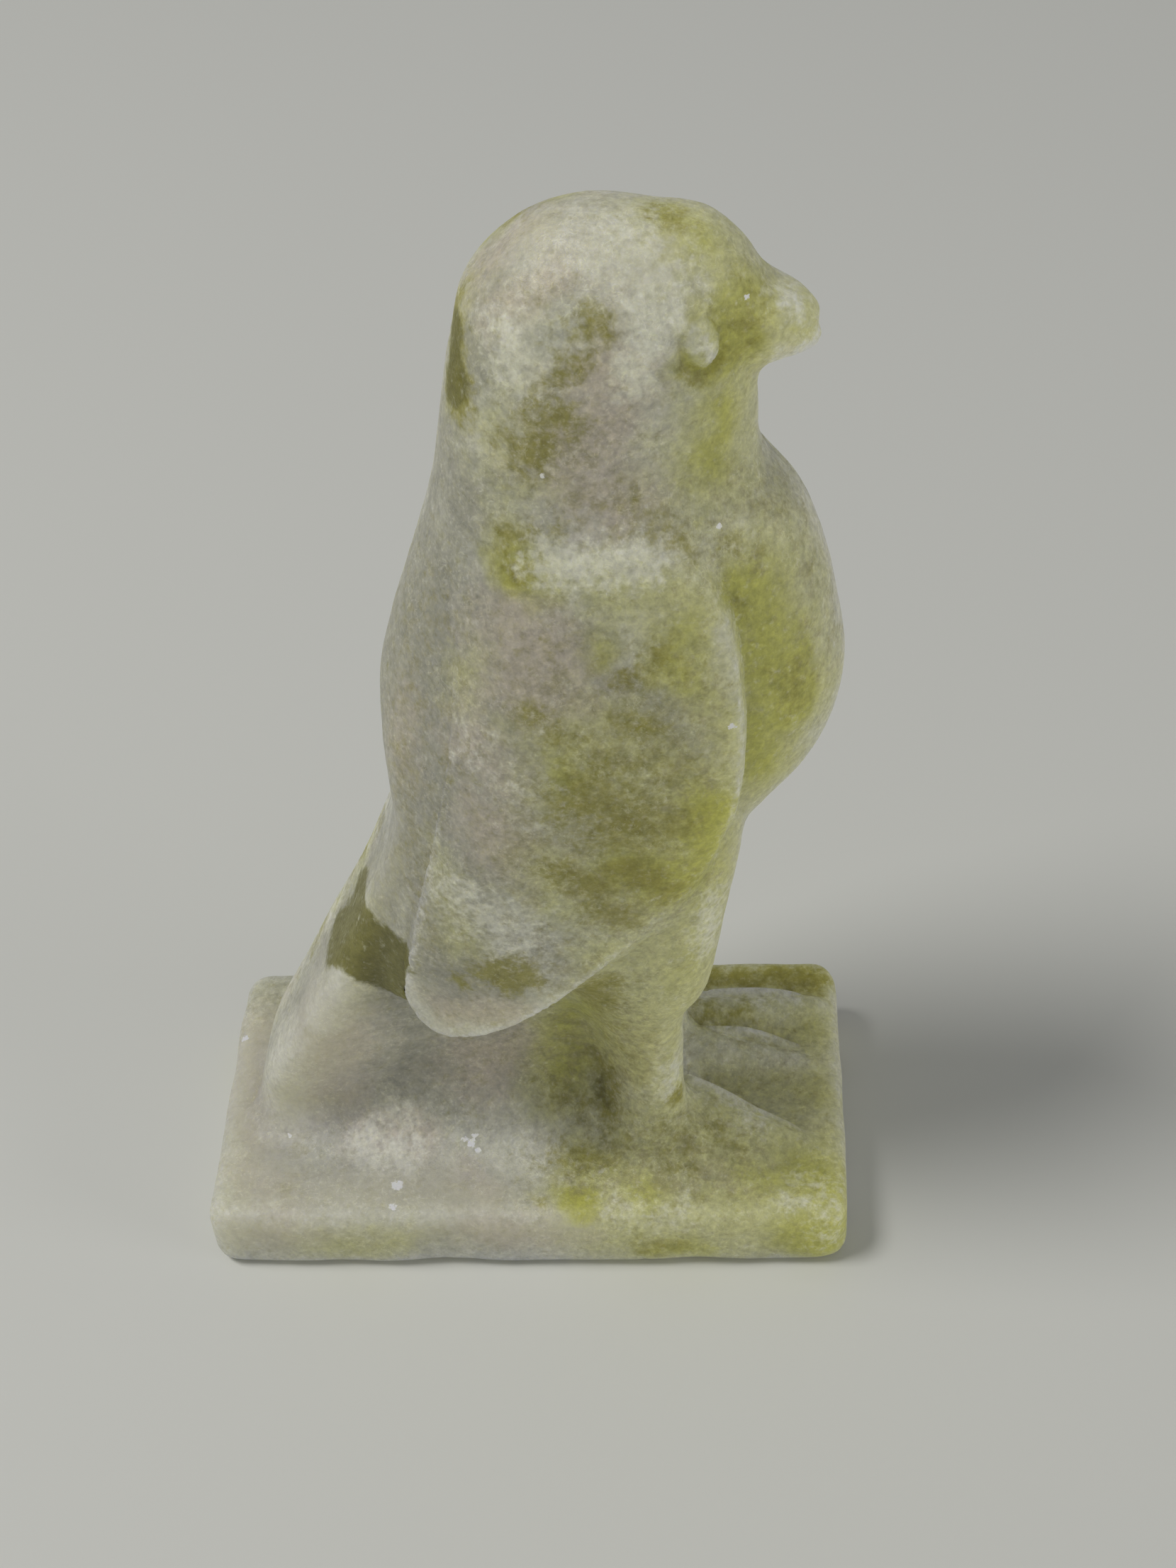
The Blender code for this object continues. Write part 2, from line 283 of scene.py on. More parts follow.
def curveThrough(rows, steps, closed=False):  # a smooth curve through the rows
    rows = [np.array(row, float) for row in rows]
    ends = [rows[-1]] + rows + rows[:2] if closed else [rows[0]] + rows + [rows[-1]]
    found = []
    for a, b, c, d in zip(ends, ends[1:], ends[2:], ends[3:]):
        for i in range(steps):
            t = i / steps
            square = (2 * a - 5 * b + 4 * c - d) * t**2
            cube = (3 * b - a - 3 * c + d) * t**3
            found.append(0.5 * (2 * b + (c - a) * t + square + cube))
    return np.array(found + [found[0] if closed else rows[-1]])


def toLine(points, line):  # distance to a line of straight runs, and how far along it, counted in runs
    line = np.array(line, float)
    best = np.full(len(points), 1e9)
    along = np.zeros(len(points))
    for i, (start, end) in enumerate(zip(line[:-1], line[1:])):
        run = end - start
        share = np.clip(((points - start) @ run) / max(run @ run, 1e-9), 0, 1)
        away = np.linalg.norm(points - start - share[:, None] * run, axis=1)
        nearer = away < best
        best[nearer], along[nearer] = away[nearer], i + share[nearer]
    return best, along


def inside(flat, outline):  # points of a plane within a closed line
    hit = np.zeros(len(flat), bool)
    for (x0, z0), (x1, z1) in zip(outline[:-1], outline[1:]):
        if z0 != z1:
            crossing = (flat[:, 1] < z0) != (flat[:, 1] < z1)
            hit ^= crossing & (flat[:, 0] < x0 + (flat[:, 1] - z0) / (z1 - z0) * (x1 - x0))
    return hit


def refine(mesh, zone):  # halves the mesh where the zone says
    work = bmesh.new()
    work.from_mesh(mesh)
    work.verts.ensure_lookup_table()
    cut = [edge for edge in work.edges if zone[edge.verts[0].index] and zone[edge.verts[1].index]]
    bmesh.ops.subdivide_edges(work, edges=cut, cuts=1, use_grid_fill=True)
    bmesh.ops.triangulate(work, faces=[face for face in work.faces if len(face.verts) > 4])
    work.to_mesh(mesh)
    work.free()


def wingDistance(points):  # how far outside the wing's edge in side view, and how crisp the edge is there
    outline = curveThrough(wing["edge"], 5, closed=True)
    flat = points[:, (0, 2)]
    away, along = toLine(flat, outline[:, :2])
    away[inside(flat, outline[:, :2])] *= -1
    crisp = np.interp(along, np.arange(len(outline)), outline[:, 2])
    return away, crisp


def fineZones(mesh):  # where the mesh is too coarse for the work to come
    points = readPoints(mesh)
    x, y, z = points.T
    mirrored = np.stack([x, -np.abs(y), z], axis=1)
    away, crisp = wingDistance(points)
    zone = (np.abs(away) < 1.0) & (np.abs(y) > 4.2) & (z > 14) & (crisp > 0.02)  # the wings' edges
    zone |= np.linalg.norm(mirrored - np.array(eye["centre"]), axis=1) < 2.6  # the eyes
    zone |= (x > 11.8) & (z > 51) & (z < 58.5)  # the beak
    zone |= (x > 6.5) & (z > 3.9) & (z < 8)  # the feet
    zone |= (z > 3.2) & (z < 4.5) & ((np.abs(y) > 8.0) | (np.abs(x) > 16.2))  # the plinth's upper edge
    return zone


def bell(value, width):  # 1 at 0, falling away on both sides
    return np.exp(-((value / width) ** 2))


def cutWings(points, normals):
    away, crisp = wingDistance(points)
    outwards, upwards = wing["cutFrom"]
    side = fade(np.abs(points[:, 1]), *outwards) * fade(points[:, 2], *upwards) * crisp
    lip = wing["lip"] * bell(away, wing["lipWidth"]) * (away <= wing["lipEnd"])
    crease = wing["crease"] * bell(away, wing["creaseWidth"]) * (away > wing["lipEnd"])
    points += normals * (side * (lip - crease))[:, None]


def fillBehindWing(points):  # the body comes up close to the wing behind its rear edge
    away, _ = wingDistance(points)
    x, y, z = points.T
    share = np.ones(len(points))
    for value, limits in zip((away, away, x, z, z, np.abs(y)), behindWing.values()):
        share *= fade(value, *limits)
    roof = wing["edgeWide"] + wing["widening"] * (z - wing["tipHeight"]) - wing["step"] - wing["fall"] * away
    lift = wing["blend"] * np.logaddexp(0, (roof - np.abs(y)) / wing["blend"])
    points[:, 1] += np.sign(y) * lift * share


# small moves of the smooth form, the same on both sides: place, reach and shift in mm, y outwards
trims = {
    "crown": ((4.8, 0.6, 60.0), 2.8, (0, 0, 0.38)),
    "brow": ((9.8, 0.8, 59.2), 1.5, (0.10, 0, 0.32)),
    "headBack": ((0.9, 0.0, 58.6), 1.4, (0.16, 0, -0.20)),
    "beakTop": ((13.2, 0.0, 57.0), 1.1, (0, 0, -0.40)),
    "beakTip": ((14.7, 0.0, 55.3), 0.7, (0.25, 0, 0)),
    "lowerBeak": ((14.3, 0.0, 53.7), 0.8, (0.50, 0, 0)),
    "wingTip": ((-4.2, 6.2, 18.0), 2.4, (0, -0.50, -0.40)),
}


def trimForm(points):
    folded = points * (1, 0, 1) + np.abs(points) * (0, 1, 0)
    for place, reach, shift in trims.values():
        away = np.linalg.norm(folded - place, axis=1)
        outwards = np.stack([np.ones(len(points)), np.sign(points[:, 1]), np.ones(len(points))], axis=1)
        points += bell(away, reach)[:, None] * np.array(shift) * outwards


def carveEyes(points, normals):
    for side in (1, -1):
        outward = Vector(eye["outward"]).normalized()
        forward = Vector((0, 0, 1)).cross(outward).normalized() * -1
        upward = forward.cross(outward)
        upward *= math.copysign(1, upward.z)
        axes = np.array([forward, upward, outward]) * (1, side, 1)
        local = (points - np.array(eye["centre"]) * (1, side, 1)) @ axes.T
        across, up, out = local.T
        ring = np.hypot(across / eye["halfWide"], up / eye["halfTall"])
        near = (np.abs(out) < 1.6) & (ring < 3)
        dome = eye["rise"] * np.sqrt(np.clip(1 - ring**2, 0, 1))
        deep = eye["shallow"] + (1 - eye["shallow"]) * fade(-up * 0.8 + across * 0.35, -0.3, 0.9)
        hollow = eye["hollow"] * deep * bell(ring - eye["hollowAt"], eye["hollowWidth"]) * (ring > 0.98)
        points += normals * (near * (dome - hollow))[:, None]


def cutMouth(points, normals):
    for side in (1, -1):
        away, along = toLine(points, curveThrough(np.array(mouth["line"]) * (1, side, 1), 4))
        depth = mouth["depth"] * fade(along, 0, mouth["runIn"]) * bell(away, mouth["width"])
        points -= normals * depth[:, None]


def raiseToes(points):
    x, y, z = points.T
    for nearSlope, farSlope, crest in toes.values():
        line = curveThrough(crest, 5)
        away, along = toLine(points[:, :2], line[:, :2])
        height = np.interp(along, np.arange(len(line)), line[:, 2])
        middle = np.interp(x, line[:, 0], line[:, 1])
        heel = line[0, 0]
        farShare = fade(y - middle, -0.1, 0.3)
        slope = nearSlope + (farSlope - nearSlope) * farShare * fade(x, heel - heelBlend, heel)
        roof = height - away * slope
        points[:, 2] += np.clip(roof - z, 0, None) * (z > toeRoom[0]) * (z < toeRoom[1])


# worn plinth, in mm
plinth = {
    "frontLift": (  # how far its lower front edge is lifted: x and lift
        (-17.5, 0.0), (-14.0, 0.05), (-11.0, 0.10), (-8.0, 0.04), (-4.5, 0.22), (-1.0, 0.02), (3.0, 0.0),
        (7.0, 0.20), (9.5, 0.24), (12.5, 0.03), (15.0, 0.12), (17.5, 0.3),
    ),
    "backLean": 0.35,  # the back edge stands out a little on the right
    "backRise": 0.6,  # and this share of it upwards
    "sideWave": 0.16,  # how uneven its sides are
    "waveLength": 3.5,
    "halfSize": (17.5, 9.3),
    "sides": (0.9, 0.86),  # shares of the half size past which a point belongs to an end or to a side
}


def wearPlinth(points):
    x, y, z = points.T
    lift = np.interp(x, *np.array(plinth["frontLift"]).T)
    points[:, 2] += lift * fade(-y, 7.9, 9.2) * (1 - fade(z, 0.0, 1.8))
    backRim = plinth["backLean"] * fade(x, 0.0, 7.0) * fade(y, 7.4, 9.0) * (1 - fade(z, 4.6, 5.2))
    points[:, 1] += backRim
    points[:, 2] += plinth["backRise"] * backRim * fade(z, 3.0, 4.2)
    low = 1 - fade(z, 3.9, 4.6)
    halfLong, halfWide = plinth["halfSize"]
    for i in np.flatnonzero((low > 0) & ((np.abs(y) > 8) | (np.abs(x) > 16))):
        wave = noise.noise(Vector((x[i], y[i], z[i] * 0.6)) / plinth["waveLength"])
        inward = plinth["sideWave"] * (wave - 0.25) * low[i]
        atEnd = abs(x[i]) / halfLong > plinth["sides"][0]
        atSide = abs(y[i]) / halfWide > plinth["sides"][1]
        points[i, 0] += inward * atEnd * math.copysign(1, x[i])
        points[i, 1] += inward * atSide * math.copysign(1, y[i])


def carveStone(mesh):
    points = readPoints(mesh)
    raiseToes(points)
    wearPlinth(points)
    writePoints(mesh, points)
    normals = readVertices(mesh, "normal")
    cutWings(points, normals)
    carveEyes(points, normals)
    cutMouth(points, normals)
    writePoints(mesh, points)


bird = stoneCopy()
smoothFacets(bird.data)
refine(bird.data, fineZones(bird.data))
rubbedPoints = readPoints(bird.data)
fillBehindWing(rubbedPoints)
trimForm(rubbedPoints)
rub(rubbedPoints, readEdges(bird.data), np.ones(len(rubbedPoints)), stone["rubPasses"])
writePoints(bird.data, rubbedPoints)
carveStone(bird.data)
print("stone copied and carved:", sum(len(face.vertices) - 2 for face in bird.data.polygons), "triangles")


# hand finish: rubbed unevenness and small pits, in mm

handFinish = {
    "Uneven Size": 3.4,
    "Uneven Depth": 0.13,
    "Fine Size": 0.75,
    "Fine Depth": 0.036,
    "Pit Density": 0.20,  # to a square mm
    "Pit Radius": 0.34,
    "Pit Depth": 0.13,
    "Smallest Pit": 0.35,  # as a share of the largest
    "Seed": 11,
}


def handFinishTree():
    tree = bpy.data.node_groups.new("handFinish", "GeometryNodeTree")
    tree.interface.new_socket("Geometry", in_out="INPUT", socket_type="NodeSocketGeometry")
    for name, value in handFinish.items():
        kind = "NodeSocketInt" if name == "Seed" else "NodeSocketFloat"
        tree.interface.new_socket(name, in_out="INPUT", socket_type=kind).default_value = value
    tree.interface.new_socket("Stone Material", in_out="INPUT", socket_type="NodeSocketMaterial")
    tree.interface.new_socket("Geometry", in_out="OUTPUT", socket_type="NodeSocketGeometry")
    into = tree.nodes.new("NodeGroupInput").outputs
    place = addNode(tree, "GeometryNodeInputPosition").outputs[0]
    place = vectorCalc(tree, "MULTIPLY", place, (1 / mm,) * 3)
    normal = addNode(tree, "GeometryNodeInputNormal").outputs[0]

    def waves(kind, detail):
        cloud = cloudIn(tree, place, calc(tree, "DIVIDE", 1.0, into[kind + " Size"]), detail, 0.55)
        return times(tree, calc(tree, "SUBTRACT", cloud, 0.5), into[kind + " Depth"])

    def node(kind, inputs, **settings):
        return addNode(tree, "GeometryNode" + kind, inputs, **settings).outputs[0]

    # pits: points strewn over the stone, each with a size of its own
    density = times(tree, into["Pit Density"], 1 / mm**2)
    strewn = {"Mesh": into["Geometry"], "Density": density, "Seed": into["Seed"]}
    sizes = {"Min": into["Smallest Pit"], "Max": 1.0, "Seed": into["Seed"]}
    size = addNode(tree, "FunctionNodeRandomValue", sizes, data_type="FLOAT").outputs[1]
    sized = {"Geometry": node("DistributePointsOnFaces", strewn), "Name": "pitSize", "Value": size}
    kept = node("StoreNamedAttribute", sized, data_type="FLOAT", domain="POINT")
    nearest = node("SampleNearest", {"Geometry": kept}, domain="POINT")
    named = node("InputNamedAttribute", {"Name": "pitSize"}, data_type="FLOAT")
    found = {"Geometry": kept, "Value": named, "Index": nearest}
    pitSize = node("SampleIndex", found, data_type="FLOAT", domain="POINT")
    nearby = addNode(tree, "GeometryNodeProximity", {"Geometry": kept}, target_element="POINTS")
    away = nearby.outputs["Distance"]
    radius = times(tree, times(tree, pitSize, into["Pit Radius"]), mm)
    share = calc(tree, "SUBTRACT", 1.0, calc(tree, "DIVIDE", away, radius), clamp=True)
    bowl = fromTo(tree, share, 0.0, 1.0)
    pits = times(tree, times(tree, bowl, pitSize), into["Pit Depth"])

    height = calc(tree, "ADD", waves("Uneven", 2.0), waves("Fine", 3.0))
    height = times(tree, calc(tree, "SUBTRACT", height, pits), mm)
    offset = addNode(tree, "ShaderNodeVectorMath", {0: normal, "Scale": height}, operation="SCALE").outputs[0]
    moved = node("SetPosition", {"Geometry": into["Geometry"], "Offset": offset})
    whole = node("RealizeInstances", {0: moved})
    painted = node("SetMaterial", {"Geometry": whole, "Material": into["Stone Material"]})
    out = tree.nodes.new("NodeGroupOutput")
    tree.links.new(painted, out.inputs[0])
    return tree


def finishByHand(obj, material):
    tree = handFinishTree()
    modifier = obj.modifiers.new("hand finish", "NODES")
    modifier.node_group = tree
    for socket in tree.interface.items_tree:
        if socket.in_out == "INPUT" and socket.name == "Stone Material":
            modifier[socket.identifier] = material
        elif socket.in_out == "INPUT" and socket.name in handFinish:
            modifier[socket.identifier] = handFinish[socket.name]
    flatten(obj)


# colours that pool in the stone, with painted shade and painted highlights among them: start, end, radius in
# mm and strength

pools = {}
pools["grey"] = {
    "neckBack": ((-0.6, -3.6, 48.5), (-2.8, -3.3, 42), 1.9, 0.8),
    # back and backLow: grey stone, and painted shade on the back's left-facing side
    "back": ((-3.3, -3.2, 41.5), (-4.9, -2.6, 32.5), 3.4, 1.55),
    "backLow": ((-5.2, -2.7, 30.8), (-4, -4.6, 27.6), 2.8, 1.45),
    "tailTop": ((-5.4, -3.4, 26.4), (-6.4, -3.6, 23.6), 1.6, 1),
    # wingBack: grey stone, and painted shade on the wing's upper rear
    "wingBack": ((0, -6.4, 42), (-1.6, -7.3, 31), 2.6, 1.35),
    "wingEnd": ((-2.4, -7, 31.2), (-3.6, -6.6, 22), 2.2, 1.15),
    "tipDark": ((-3.2, -6.8, 19.4), (-0.9, -7.1, 20.8), 1.6, 0.75),
    "neckBase": ((3.4, -5.3, 48.2), (9, -5, 47.4), 1.8, 0.3),
    "headBack": ((0.4, -0.8, 57.2), (1.4, -2.6, 57.4), 1.5, 0.75),
    "nape": ((0.2, -2.2, 56), (-1.6, -1.6, 46.5), 1.5, 1),
    "tailRidge": ((-6.6, -0.5, 24.6), (-10.6, -0.6, 15.6), 1.6, 0.85),
    # underWing, web and webFoot: painted shade in the recess under the wing
    "underWing": ((-4.6, -2.5, 13), (0.4, -2.6, 13.5), 2.4, 0.8),
    "web": ((-6.5, -2.2, 8.8), (-0.4, -2.2, 8.8), 2.5, 0.95),
    "webFoot": ((-5, -3.2, 6.2), (0.4, -3.6, 5.8), 1.6, 0.5),
    "wingMiddle": ((3, -7.2, 41.4), (7.4, -7.7, 37.6), 2.6, 0.8),
    "wingCentre": ((1.2, -7.8, 34.8), (4.4, -8, 30.6), 2, 0.55),
    "tailSide": ((-6.8, -3.3, 15.6), (-6.2, -3, 12), 1.4, 0.8),
    # plinthLeft: grey stone, and painted shade on the plinth's left end
    "plinthLeft": ((-15.6, -3.2, 4.4), (-10, -3.4, 5.2), 1.4, 0.55),
    "plinthMiddle": ((-11, -6.2, 4.4), (-4, -6.2, 4.4), 1.8, 0.45),
    "farHeel": ((9.9, 1.6, 5.9), (12.2, 0.9, 5.2), 1, 0.35),
    # plinthBack and tailLeft: grey stone, and painted shade on the left end and the tail's left side
    "plinthBack": ((-15.8, 7, 4.4), (-15.4, -1.5, 4.4), 2.4, 0.55),
    "tailLeft": ((-11.6, -0.8, 13.6), (-13.6, -1.2, 7.6), 1.7, 0.7),
    "plinthFront": ((-14, -7.8, 4.4), (4, -7.8, 4.4), 1.4, 0.45),
    "frontFace": ((-15, -9.3, 2.6), (-2, -9.3, 2.6), 1.2, 0.45),
    "chestTop": ((11, -3.4, 48), (13.6, -1.4, 46.6), 1.3, 0.6),
    "wingTail": ((1, -7.4, 24.4), (3.6, -7, 21.4), 1.6, 0.55),
    "chestEdge": ((14.6, -2.2, 45.5), (15.2, -2.4, 41), 1, 0.5),
    "napeSide": ((0.4, -3.4, 49.6), (-2, -4.4, 44), 1.6, 0.7),
    "wingShoulder": ((0.8, -6, 44.6), (-0.8, -6.2, 41), 1.6, 0.6),
    "thigh": ((9.8, -5.8, 27), (8.6, -5.2, 17.5), 1.5, 0.5),
    # webTop: painted shade under the wing
    "webTop": ((-5.6, -2.4, 12.6), (-1, -2.2, 12.2), 1.6, 0.8),
}
pools["mauve"] = {
    "crown": ((5.4, -1.4, 59.7), (6.9, -3.4, 58.2), 2, 0.35),
    "cheek": ((6, -4.7, 54.4), (5.6, -4.9, 51.3), 2, 0.95),
    "neck": ((4.1, -5, 51), (6.2, -5.3, 48.8), 2, 0.9),
    "crownBack": ((0.6, -1, 58), (2.4, -0.2, 59.4), 1.4, 0.8),
    "wing": ((1.4, -6.7, 42.8), (3.7, -7.5, 39.5), 2.3, 0.9),
    "wingLow": ((-0.2, -7.7, 32.4), (1.6, -7.8, 29.6), 1.7, 0.9),
    "wingCloud": ((-0.8, -7.2, 38.4), (0.4, -7.8, 34.4), 1.5, 0.7),
    "wingTip": ((-3.4, -6.8, 17.6), (0.2, -7.1, 18.2), 1.3, 0.8),
    "web": ((-2.4, -2.1, 9), (1.4, -2.1, 11), 2.2, 0.85),
    "backLow": ((-3.8, -3.4, 36.5), (-4.2, -3.6, 33), 1.4, 0.6),
    "plinthFront": ((-2.8, -9.3, 3.2), (3.2, -9.3, 3.2), 1.2, 0.9),
    "plinthLeft": ((-15.8, -5.6, 4.3), (-13.4, -9.2, 3.4), 1.7, 0.6),
    "plinthMiddle": ((-3.4, -6.2, 4.4), (-2.4, -7.6, 4.4), 0.8, 0.7),
    "shank": ((6.9, -4.9, 14.8), (6.6, -4.4, 11), 0.9, 0.7),
    "lowerBeak": ((12.4, -1.9, 53.7), (14.6, -0.7, 53.7), 0.8, 0.8),
    "tailSide": ((-9.8, -3.7, 13), (-11.2, -3.4, 8.2), 2, 0.8),
    "chestEdge": ((14.9, -2.7, 44.5), (15.4, -2.4, 37), 1.4, 0.2),
    "webFoot": ((-9.4, -4.2, 5.4), (-6, -4.4, 5), 1.1, 0.8),
    "wingSide": ((-0.4, -7, 41.4), (-1.4, -7.2, 36), 1.5, 0.75),
    "headBack": ((1.6, -3.4, 58), (4.2, -3.2, 58.8), 1.3, 0.7),
    "plinthBack": ((-16.4, 4, 4.4), (-15.6, -4.5, 4.4), 1.6, 0.6),
}
pools["haze"] = {
    "crownFront": ((8.6, -0.6, 59.7), (10.6, -1.9, 58.4), 2.2, 0.75),
    "crownTop": ((3.2, -0.6, 59.5), (8, 0.6, 59.9), 1.2, 0.2),
    "lores": ((11.3, -2.4, 57), (11.5, -2.3, 54.4), 1.9, 1),
    "beak": ((12.8, -1.2, 56.2), (14.3, -0.6, 55.2), 1.5, 0.95),
    "throat": ((11, -2.6, 52), (10.4, -3.2, 48.4), 2.4, 1),
    "chest": ((12.8, -4.2, 44.5), (12.9, -4.9, 36), 2.7, 1),
    "chestTop": ((11, -4.2, 46), (13.6, -3, 44.4), 1.8, 0.7),
    "chestLow": ((12.2, -5, 34.5), (12.6, -4.7, 32), 2.4, 1),
    "wingMiddle": ((5.5, -7.9, 36), (10, -7.8, 33), 3.2, 1.1),
    "wingShoulder": ((6, -6.4, 45.4), (9.8, -6.4, 44.4), 1.7, 0.95),
    "wingFront": ((9.4, -7.3, 41), (10.9, -7.6, 37), 1.7, 0.8),
    "thigh": ((10.2, -6.9, 30), (8.6, -5.8, 17.3), 2.6, 1.15),
    "legSide": ((6.4, -7.3, 22.8), (5, -4.2, 11.8), 2.4, 1.1),
    "shank": ((8.1, -5, 15), (8, -4.3, 8), 1.5, 0.8),
    "foot": ((8, -5, 6.2), (14, -5.5, 4.6), 3, 1),
    "plinthRight": ((4.6, -8.2, 4.2), (16, -8, 4), 2.8, 0.9),
    "frontRight": ((5, -9.3, 1.8), (16, -9.3, 1.8), 2, 0.85),
    "farFoot": ((10, 4.2, 5.6), (15.5, 4, 4.8), 2.8, 0.7),
    "gap": ((11, -0.6, 4.4), (16, -0.6, 4.4), 2.4, 0.7),
    "backEdge": ((9.5, 8, 4.3), (16, 7.8, 4.3), 1.8, 1),
    "tail": ((-8, -2, 21.7), (-5.8, -3.5, 24), 1.7, 0.3),
    "wingLow": ((3.4, -7.9, 28.8), (6.6, -7.7, 26.4), 2.4, 1),
    "wingEnd": ((-3.4, -6.9, 28.6), (-2.2, -7.2, 24), 1.3, 0.6),
    "wingBack": ((-1.8, -6.6, 38.6), (-1, -6.6, 41), 1.1, 0.6),
    "frontLeft": ((-12, -9.3, 2), (-7, -9.3, 2.4), 1.3, 0.75),
    "neckBack": ((1.2, -4.3, 52.4), (1.6, -4.7, 49.6), 1.8, 0.45),
    "nape": ((-0.2, -1.3, 56.5), (-0.5, -3, 51.5), 1.4, 0.35),
    "legRecess": ((2.8, -3, 14), (1.8, -2.4, 7), 1.8, 0.9),
    "chestEdge": ((14.9, -2.9, 43.5), (15.2, -2.8, 36), 1.6, 0.75),
    "shoulder": ((3.6, -6.4, 45.6), (7.4, -6.4, 45.6), 1.3, 0.45),
    "corner": ((15, -7.5, 4.2), (16.8, -8.8, 3), 2, 0.9),
}
pools["yellow"] = {
    "wingEdge": ((10, -7.8, 33), (10, -7.4, 29.6), 1.5, 1),
    "wingBand": ((6.4, -8, 29.6), (9.4, -7.6, 28), 1.5, 1.1),
    "wingSpot": ((8.7, -7.1, 42.6), (8.8, -7.3, 40.8), 1.2, 0.65),
    "wingGreen": ((3.2, -7.9, 35.9), (3.7, -7.9, 35.3), 0.9, 0.6),
    "wingHigh": ((5.2, -7, 42.6), (5.6, -7, 42.2), 0.7, 0.7),
    "chest": ((12.2, -4.7, 43.6), (13.5, -4.5, 36.4), 1.6, 0.95),
    "chestCore": ((13.95, -4.2, 39.2), (14.2, -4.1, 36.6), 0.9, 1.5),
    "chestDot": ((11.3, -4.9, 44.2), (11.4, -5, 42.6), 0.8, 1),
    "chestLow": ((12, -5.2, 36.4), (12.3, -5, 33.4), 1.2, 0.85),
    "lores": ((11.6, -2.3, 56.9), (11.1, -2.8, 54.8), 1.2, 0.95),
    "crownFront": ((8.6, -0.6, 59.8), (10.2, -1.6, 58.9), 0.9, 0.45),
    "throat": ((10.7, -2.9, 52.4), (10.4, -3.2, 50.6), 0.8, 0.8),
    "throatSide": ((9.7, -3.8, 50.2), (10.2, -3.4, 49.2), 0.9, 0.75),
    "corner": ((15.2, -6.2, 4.4), (16.6, -7.4, 4.1), 1.5, 0.72),
    "cornerLow": ((15, -9.3, 2.4), (16.8, -9, 2), 1.5, 0.95),
    "plinthDot": ((2.75, -7.9, 4.3), (2.85, -7.9, 4.2), 0.9, 1.1),
    "plinthDots": ((6.2, -7.5, 4.3), (6.4, -7.5, 4.3), 0.9, 1),
    "shoulderPit": ((1.5, -5.9, 46.6), (2.1, -6, 45.6), 1.1, 1.05),
    "foot": ((12, -6.8, 4.7), (14, -7.2, 4.4), 1.3, 0.5),
    "thigh": ((10.3, -7, 30), (10.6, -6.6, 27.4), 1.1, 0.8),
    "frontMiddle": ((6.8, -9.3, 1.4), (9.4, -9.3, 1.4), 1, 0.6),
    "ankle": ((3.2, -5.4, 5), (4.4, -6, 4.6), 1.2, 0.7),
    "frontLeft": ((-10.6, -9.3, 2.4), (-8.6, -9.3, 3), 0.8, 0.35),
    "nape": ((-0.65, -0.9, 56), (-0.4, -2.9, 52.4), 0.8, 0.35),
    # eyeLid: golden, with painted shade in the groove below the eye
    "eyeLid": ((9.2, -3.9, 54.7), (10.6, -3.1, 54.1), 0.55, 1),
    "legRecess": ((3.4, -4.4, 16), (2.4, -2.3, 9), 1.4, 0.7),
    "thighPale": ((9.8, -5.8, 26), (8.8, -5.2, 20), 1.2, 0.45),
}
pools["umber"] = {
    "wingMiddle": ((3.4, -7.2, 41.4), (6.8, -7.9, 35.6), 2.8, 0.34),
    "wingFront": ((8.4, -7.6, 38.8), (7.6, -8, 33), 2.4, 0.38),
    "wingLow": ((2.6, -8, 31.4), (6.4, -7.9, 26.4), 2.8, 0.46),
    "neckBase": ((5.6, -5, 49.4), (9.2, -5.4, 46.8), 1.6, 0.32),
    "neck": ((3.6, -4.9, 52.6), (4.6, -5.1, 49.6), 1.4, 0.4),
    "back": ((-2.4, -4, 42), (-4.4, -3.2, 34), 2.2, 0.36),
    "wingEnd": ((-3.2, -6.8, 27.6), (-1.2, -7.2, 20.6), 1.8, 0.3),
    "shank": ((5.4, -5, 16.4), (5.6, -4.4, 10), 1.5, 0.42),
    "web": ((-1.6, -2.2, 11.6), (1, -2.2, 9), 1.6, 0.26),
    "foot": ((7, -5, 6.4), (12, -5.6, 4.8), 2, 0.34),
    "chestMarks": ((11, -4.5, 46), (12.8, -3.6, 45), 0.9, 0.3),
    "farFoot": ((10, 2.2, 5.4), (13.4, 2, 4.9), 1.6, 0.3),
    "chestTop": ((10.8, -3.8, 47.4), (14, -1.6, 45.6), 1.4, 0.34),
    "legRecess": ((2.6, -2.6, 12.4), (2.2, -2.2, 7.6), 1.6, 0.42),
    "wingTail": ((0.4, -7.4, 25), (3.6, -6.9, 21), 2.2, 0.44),
    "plinthRight": ((4, -6.6, 4.4), (11, -6.4, 4.4), 1.8, 0.52),
    "backLow": ((-4.6, -3.6, 34), (-3.8, -5.4, 27), 2, 0.4),
    "wingRear": ((-1.6, -6.8, 40), (-2.4, -7, 34), 1.4, 0.34),
    "chestEdge": ((14.6, -2.6, 45.5), (15.2, -2.4, 38), 1.3, 0.34),
}
